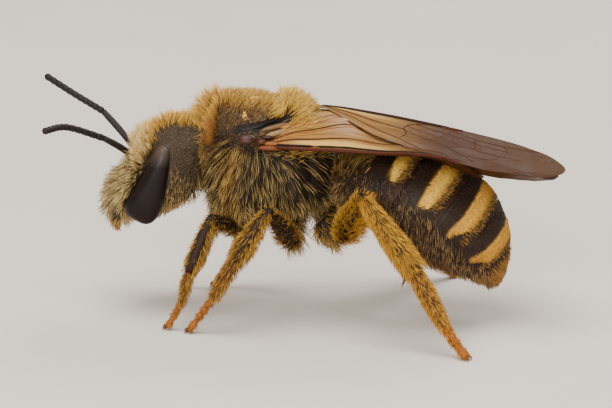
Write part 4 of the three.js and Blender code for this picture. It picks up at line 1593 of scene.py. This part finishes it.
class BEE_OT_head_coat(bpy.types.Operator):
    """Grows the hair of the face, the crown and the cheeks"""

    bl_idname = "bee.head_coat"
    bl_label = "Coat of the head"

    def execute(self, context):
        colours = context.scene.bee_colours
        fur = hair_material("pale face bristle", 0.5)
        velvet = hair_material("short grey-brown velvet", 0.7)
        around = (HEAD_AT, CROWN)

        def face(at, normal):
            _, crown, ahead = head_parts(at)
            inner = ease(1.42, 1.2, np.abs(at[:, 0])) * (ahead > 0.2)
            return on_the_head(at) * ease(-0.3, 0.15, normal @ FACE) * ease(1.05, 0.55, crown) * inner

        roots = trunk_roots(context, 4700, 11, face, from_sockets, *around)
        across, height, _ = head_parts(roots.at)
        brow = ease(-0.15, 0.25, height)
        top = ease(0.45, 0.9, height)
        dark, warm, golden = tones("face coat")
        look = look_of(
            (0.5 + 0.14 * brow - 0.3 * top) * ease(1.7, 1.1, np.abs(across)), 0.0135,
            46 + 18 * brow, 34 + 20 * brow, mix(dark, warm, brow), mix(colours.cream, golden, top),
            clump=0.35, dull=0.85 - 0.4 * brow,
        )
        coat(context, "coat_face", "hairy_head", roots, look, fur)

        def velvet_skin(at, normal):
            _, crown, ahead = head_parts(at)
            return on_the_head(at) * ease(-0.5, 0.2, crown) * ease(0.75, 0.45, ahead)

        up = CROWN - 0.4 * FACE
        roots = trunk_roots(context, 9000, 12, velvet_skin, up, *around)
        look = look_of(
            0.1, 0.013, 52, 44, *tones("crown coat"), steps=SHORT, dull=0.7, sway=0.3, clump=0.1
        )
        coat(context, "coat_crown", "hairy_head", roots, look, velvet)

        def ridge(at, normal):
            _, crown, ahead = head_parts(at)
            top = ease(0.7, 0.95, crown) * ease(0.75, 0.55, ahead) * ease(0.58, 0.1, np.abs(at[:, 0] + 0.06))
            return on_the_head(at) * top

        roots = trunk_roots(context, 2000, 13, ridge, up, *around)
        nape = ease(0.3, -0.6, head_parts(roots.at)[2])
        middle = 0.25 + 0.75 * ease(0.46, 0.16, np.abs(roots.at[:, 0] + 0.06))
        look = look_of((0.41 + 0.2 * nape) * middle, 0.014, 80, 76, *tones("ridge coat"), dull=0.5)
        coat(context, "coat_ridge", "hairy_head", roots, look, fur)

        def cheek(at, normal):
            _, crown, ahead = head_parts(at)
            outer = ease(0.2, 0.5, np.abs(normal[:, 0]) - normal @ CROWN * 0.5)
            return on_the_head(at) * ease(0.35, 0.1, ahead) * ease(0.9, 0.2, crown) * outer

        down = -CROWN - 0.2 * FACE
        roots = trunk_roots(context, 3000, 14, cheek, down, *around)
        look = look_of(0.21, 0.011, 30, 20, *tones("cheeks coat"), dark_root=0.75, dull=1.0)
        coat(context, "coat_cheeks", "hairy_head", roots, look, fur)

        def chin(at, normal):
            _, crown, ahead = head_parts(at)
            return on_the_head(at) * ease(-0.1, -0.6, normal @ CROWN) * ease(0.75, 0.3, ahead)

        roots = trunk_roots(context, 1200, 15, chin, down, *around)
        look = look_of(0.3, 0.018, 50, 45, *tones("chin coat"), dull=0.5)
        coat(context, "coat_chin", "hairy_head", roots, look, fur)
        self.jaw_hair(context, fur)
        return {"FINISHED"}

    def jaw_hair(self, context, fur):
        """The fringe of long golden hair on the outer face of each jaw."""
        count = int(240 * context.scene.bee_sizes.hair_count)

        def outer(at, normal, u, v):
            turned = ease(0.2, -0.2, normal @ FACE - np.abs(normal[:, 0]))
            return ease(0.05, 0.3, u) * ease(0.95, 0.85, u) * turned

        sides = [scattered(jaw_rod(sign), count, 16 + sign, outer, 40, 24) for sign in SIDES.values()]
        for shelf, roots in enumerate(sides):
            roots.uv = np.column_stack([roots.u * 0.45 + shelf * 0.5, roots.v])
        look = look_of(0.26, 0.014, 30, 16, *tones("jaws coat"), dull=0.6, clump=0.5)
        coat(context, "coat_jaws", "horn", gathered(sides), look, fur)


class BEE_OT_trunk_coat(bpy.types.Operator):
    """Grows the hair of the back, the sides and the breast"""

    bl_idname = "bee.trunk_coat"
    bl_label = "Coat of the trunk"

    def execute(self, context):
        colours = context.scene.bee_colours
        fur = hair_material("golden trunk bristle", 0.5)
        around = (np.array([0, -1.3, 4.7]), np.array([0, 1.0, 0]))

        def back(at, normal):
            upper = ease(4.9, 5.5, at[:, 2] + 0.5 * ease(-2.2, -2.7, at[:, 1]))
            open_skin = ease(-0.15, 0.2, np.maximum(normal[:, 2], -normal[:, 1])) * clear_of_wings(at)
            return on_the_trunk(at) * upper * open_skin

        roots = trunk_roots(context, 9800, 21, back, (0, 1.0, 0.2), *around)
        front = ease(-2.3, -2.95, roots.at[:, 1])
        rear = ease(-1.1, -0.7, roots.at[:, 1])
        top = ease(6.1, 6.4, roots.at[:, 2])
        # painted shade: the gold fades to dusty toward the sides of the back
        shade = 1 - 0.75 * ease(0.5, 1.1, np.abs(roots.at[:, 0]))
        dark, warm, dusty, rim_glow, rear_gold = tones("back coat")
        tip = mix(dusty, colours.gold, np.maximum(0.85 * front, 0.85 * top) * shade)
        # painted glow of the hair along the top of the back, where it stands against the light
        tip = mix(tip, rim_glow, 0.5 * ease(6.2, 6.45, roots.at[:, 2]))
        root = mix(dark, warm, np.maximum(0.8 * front, np.maximum(rear, 0.7 * top)))
        look = look_of(
            0.16 + 0.16 * front + 0.1 * rear + 0.19 * top, 0.013, 62 + 8 * top, 50 + 12 * top, root,
            mix(tip, rear_gold, rear), dull=0.6, clump=0.25,
        )
        coat(context, "coat_back", "hairy_thorax", roots, look, fur)

        def collar(at, normal):
            return on_the_trunk(at) * ease(-2.45, -2.85, at[:, 1]) * ease(5.1, 5.8, at[:, 2])

        roots = trunk_roots(context, 1500, 22, collar, (0, -0.15, 1.0), *around)
        root, bright, dusty = tones("collar coat")
        tip = mix(bright, dusty, ease(0.5, 1.0, np.abs(roots.at[:, 0])))
        look = look_of(0.36, 0.014, 62, 60, root, tip, dull=0.55)
        coat(context, "coat_collar", "hairy_thorax", roots, look, fur)

        def tuft(at, normal):
            middle = ease(1.15, 0.8, np.abs(at[:, 0]))
            high = ease(5.1, 5.6, at[:, 2]) * clear_of_wings(at)
            return on_the_trunk(at) * middle * ease(-1.25, -0.85, at[:, 1]) * high

        roots = trunk_roots(context, 2700, 23, tuft, (0, 0.9, 0.5), *around)
        back_down = ease(-0.35, 0.1, roots.at[:, 1])
        look = look_of(
            0.42 + 0.17 * back_down, 0.015, 64 - 16 * back_down, 58 - 22 * back_down, *tones("tuft coat"),
            vary=0.4, dull=0.5, clump=0.5,
        )
        coat(context, "coat_tuft", "hairy_thorax", roots, look, fur)

        def flank(at, normal):
            bare = ease(-0.6, -0.25, at[:, 1]) * ease(3.6, 4.0, at[:, 2])
            level = ease(5.7, 5.35, at[:, 2]) * ease(0.05, 0.35, np.abs(normal[:, 0])) * clear_of_wings(at)
            return on_the_trunk(at) * level * (1 - 0.7 * bare)

        roots = trunk_roots(context, 5900, 24, flank, from_wing, *around)
        bright = np.exp(-((roots.at[:, 1] + 2.0) / 0.3) ** 2)
        dark, warm, golden = tones("sides coat")
        look = look_of(
            0.54, 0.013, 34, 20, mix(dark, warm, bright), mix(colours.straw, golden, bright),
            dark_root=0.75, clump=0.5, tuft=6, sway=0.16, dull=1 - 0.45 * bright, pull=(0, 0, -0.2),
        )
        coat(context, "coat_sides", "hairy_thorax", roots, look, fur)

        def breast(at, normal):
            return on_the_trunk(at) * ease(0.1, -0.5, normal[:, 2]) * ease(4.0, 3.6, at[:, 2])

        roots = trunk_roots(context, 1400, 25, breast, (0, 0.5, -1.0), *around)
        look = look_of(0.36, 0.018, 50, 45, *tones("breast coat"), colours.straw, dull=0.7)
        coat(context, "coat_breast", "hairy_thorax", roots, look, fur)
        return {"FINISHED"}


class BEE_OT_abdomen_coat(bpy.types.Operator):
    """Grows the felt bands, the bristles of the sides and the tuft at the tip"""

    bl_idname = "bee.abdomen_coat"
    bl_label = "Coat of the abdomen"

    def execute(self, context):
        colours = context.scene.bee_colours
        fur = hair_material("golden felt bristle", 0.55)

        def felt(at, normal, u, v):
            return band_share(u, v) ** 1.5

        roots = self.roots(context, 14600, 31, felt)
        along, turn = roots.u, off_back(roots.v)
        late = sum(
            ease(front + 0.6 * (rear - front), rear, along) * (along < rear + 0.01) * (along > front - 0.01)
            for front, rear, *_ in BANDS
        )
        early = sum(
            ease(front + 0.4 * (rear - front), front, along) * (along < rear) * (along > front - 0.02)
            for front, rear, *_ in BANDS
        )
        deep, shade, front_tone, rear_tone = tones("bands coat")
        low_end = 0.5 * ease(62, 84, turn) * (along > 0.66)
        tip = mix(colours.felt, deep, ease(0.52, 0.66, along) * 0.85)
        # painted shadow of the amber wings: the felt on top of the front bands turns orange-brown
        tip = mix(tip, shade, 0.65 * ease(38, 14, turn) * (along < 0.7))
        tip = mix(tip, front_tone, 0.55 * early)
        tip = mix(tip, rear_tone, np.maximum(0.6 * late, low_end))
        look = look_of(
            0.12, 0.02, 22, 8, tip * 0.75, tip, steps=SHORT, sway=0.1, clump=0.15, mottle=0.14, dull=0.3,
            sink=-0.022,
        )
        coat(context, "coat_bands", "banded_abdomen", roots, look, fur)

        def behind_bands(at, normal, u, v):
            turn = off_back(v)
            share = np.zeros_like(u)
            for _, rear, reach, *_ in BANDS:
                strip = ease(rear - 0.012, rear, u) * ease(rear + 0.028, rear + 0.006, u)
                share += strip * ease(reach + 4, reach - 8, turn)
            return share

        roots = self.roots(context, 4600, 32, behind_bands)
        look = look_of(0.13, 0.014, 24, 12, *tones("fringes coat"), steps=SHORT, dull=0.7, sink=-0.015)
        coat(context, "coat_fringes", "banded_abdomen", roots, look, fur)

        def plates(at, normal, u, v):
            return (1 - band_share(u, v)) * ease(0.98, 0.9, u) * ease(0.12, 0.2, u)

        roots = self.roots(context, 7500, 33, plates)
        look = look_of(0.1, 0.014, 26, 14, *tones("plates coat"), steps=SHORT, dull=0.7, sink=-0.015)
        coat(context, "coat_plates", "banded_abdomen", roots, look, fur)

        def sides(at, normal, u, v):
            return ease(-4, 14, off_back(v) - np.interp(u, *FLANK_TOP)) * ease(0.98, 0.93, u)

        roots = self.roots(context, 7000, 34, sides)
        turn = off_back(roots.v)
        hang = ease(150, 115, turn)[:, None] * along_skin(roots, (0, 0, -1.0))
        roots.flow = unit(roots.flow * (1.1 - np.linalg.norm(hang, axis=1, keepdims=True)) + hang)
        low = ease(115, 155, turn)
        dark, pale, warm = tones("flanks coat")
        look = look_of(
            0.28, 0.0105, 46, 34, dark, mix(pale, warm, low), dark_root=0.85, clump=0.2, sway=0.24,
            dull=1 - 0.4 * low, pull=(0, 0, -0.3),
        )
        coat(context, "coat_flanks", "banded_abdomen", roots, look, fur)

        def end(at, normal, u, v):
            return ease(0.78, 0.87, u) * ease(0.985, 0.97, u)

        roots = self.roots(context, 3000, 35, end)
        look = look_of(0.2, 0.015, 40, 28, *tones("tip coat"), dull=0.6)
        coat(context, "coat_tip", "banded_abdomen", roots, look, fur)

        def waist(at, normal, u, v):
            return ease(0.02, 0.08, u) * ease(0.28, 0.14, u) * (0.15 + 0.85 * ease(75, 45, off_back(v)))

        roots = self.roots(context, 1300, 36, waist)
        look = look_of(0.38, 0.015, 50, 38, *tones("waist coat"), dull=0.7)
        coat(context, "coat_waist", "banded_abdomen", roots, look, fur)
        return {"FINISHED"}

    def roots(self, context, count, seed, weight):
        """Roots on the abdomen's plates."""
        count = int(count * context.scene.bee_sizes.hair_count)
        return scattered(abdomen_skin, count, seed, weight, 420, 180)


# hairs on each leg piece: how many, how long, and how far they stand off at the root and the tip
LEG_COATS = {
    "fore": {"hip": (230, 0.3, 35, 30), "femur": (700, 0.25, 46, 36), "tibia": (750, 0.22, 44, 34),
             "metatarsus": (640, 0.18, 44, 34), "toes": (340, 0.12, 36, 26)},
    "mid": {"hip": (230, 0.3, 35, 30), "femur": (700, 0.3, 46, 38), "tibia": (1300, 0.26, 42, 32),
            "metatarsus": (900, 0.22, 42, 32), "toes": (340, 0.13, 36, 26)},
    "hind": {"hip": (280, 0.34, 35, 30), "femur": (1700, 0.34, 34, 26), "tibia": (3150, 0.36, 32, 20),
             "metatarsus": (1600, 0.24, 32, 22), "toes": (400, 0.19, 36, 26)},
}
# the bare strip of a leg piece's outer face: how bare, how far round it starts, and how far back it leans
LEG_STRIPS = {
    "fore femur": (0.95, 0.78, 0), "fore tibia": (0.95, 0.8, 0), "mid femur": (0.97, 0.76, 0),
    "mid tibia": (0.5, 0.82, 0), "hind femur": (0.95, 0.84, 0.9), "hind tibia": (0.5, 0.9, 0.3),
}


class BEE_OT_leg_coats(bpy.types.Operator):
    """Grows the brushes of hair on each leg"""

    bl_idname = "bee.leg_coats"
    bl_label = "Coats of the legs"

    def execute(self, context):
        fur = hair_material("orange-gold leg bristle", 0.5)
        for number, name in enumerate(LEGS):
            pair, side = name.split("_")
            hip = rod(LEGS[name][:2], LEG_RADII[pair]["hip"])
            pieces = [("hip", hip), *leg_surfaces(name)]
            brushes = []
            for place, (piece, surface) in enumerate(pieces):
                seed, shelf = 40 + 10 * number + place, place / len(pieces)
                brushes.append(self.brush(context, pair, SIDES[side], piece, surface, seed, shelf))
            roots = gathered(brushes)
            look = look_of(
                roots.length, 0.014 if pair == "hind" else 0.012, roots.lift, roots.settle, roots.root,
                roots.tip, clump=0.15, sway=0.14, sink=0.01, dull=0.7 if pair == "hind" else 0.8,
            )
            coat(context, f"coat_leg_{name}", "hairy_leg", roots, look, fur)
        return {"FINISHED"}

    def brush(self, context, pair, outer, piece, surface, seed, shelf):
        """The roots of one leg piece, on their own shelf of the unwrap."""
        colours = context.scene.bee_colours
        count, length, lift, settle = LEG_COATS[pair][piece]
        links = len(TOE_STARTS) - 1 if piece == "toes" else 1
        count = int(count * context.scene.bee_sizes.hair_count / links)
        strip, start, lean = LEG_STRIPS.get(f"{pair} {piece}", (0, 1, 0))

        def weight(at, normal, u, v):
            facing_out = normal @ unit(np.array([outer, lean, 0.2]))
            brushy = np.clip(0.6 - normal[:, 2] * 0.5 + np.abs(normal[:, 1]) * 0.5, 0.2, 1.2)
            return brushy * (1 - strip * ease(start, start + 0.13, facing_out))

        roots = scattered(surface, count, seed, weight, 60, 40)
        under = np.clip(0.4 * roots.normal[:, 1] - roots.normal[:, 2], 0, 1)
        roots.uv = np.column_stack([roots.u * 0.1 + shelf, roots.v])
        shaggy = 0.9 if (pair, piece) == ("hind", "femur") else 0.45
        roots.length = length * (0.8 + shaggy * under)
        roots.lift = np.full(count, float(lift))
        roots.settle = np.full(count, float(settle))
        orange = {"toes": 0.8, "metatarsus": 0.3}.get(piece, 0.1) + 0.3 * under * (pair != "fore")
        dark = {"femur": 0.35, "hip": 0.6}.get(piece, 0.15) * (pair != "hind")
        tip = mix(colours.gold, colours.orange, np.broadcast_to(orange, count))
        roots.tip = mix(tip, tones("legs coat")[0], np.full(count, dark))
        roots.root = mix(roots.tip * 0.4, colours.umber, np.full(count, 0.2 if pair == "hind" else 0.6))
        return roots


STEPS = (
    BEE_OT_stage,
    BEE_OT_skin,
    BEE_OT_eyes,
    BEE_OT_feelers,
    BEE_OT_jaws,
    BEE_OT_plates,
    BEE_OT_wings,
    BEE_OT_claws,
    BEE_OT_pollen,
    BEE_OT_head_coat,
    BEE_OT_trunk_coat,
    BEE_OT_abdomen_coat,
    BEE_OT_leg_coats,
)


class BEE_PT_panel(bpy.types.Panel):
    """Lists the sizes, the colours and the steps of the bee"""

    bl_idname = "BEE_PT_panel"
    bl_label = "Furrow Bee"
    bl_space_type = "VIEW_3D"
    bl_region_type = "UI"
    bl_category = "Bee"

    def draw(self, context):
        for group in (context.scene.bee_sizes, context.scene.bee_colours):
            for name in group.__annotations__:
                self.layout.prop(group, name)
        for step in STEPS:
            self.layout.operator(step.bl_idname)


CLASSES = (BeeColours, BeeSizes, *STEPS, BEE_PT_panel)


def register():
    for each in CLASSES:
        bpy.utils.register_class(each)
    bpy.types.Scene.bee_colours = PointerProperty(type=BeeColours)
    bpy.types.Scene.bee_sizes = PointerProperty(type=BeeSizes)


def unregister():
    del bpy.types.Scene.bee_sizes
    del bpy.types.Scene.bee_colours
    for each in reversed(CLASSES):
        bpy.utils.unregister_class(each)


def main():
    """Builds the whole bee."""
    register()
    for step in STEPS:
        group, name = step.bl_idname.split(".")
        getattr(getattr(bpy.ops, group), name)()


if __name__ == "__main__":
    main()
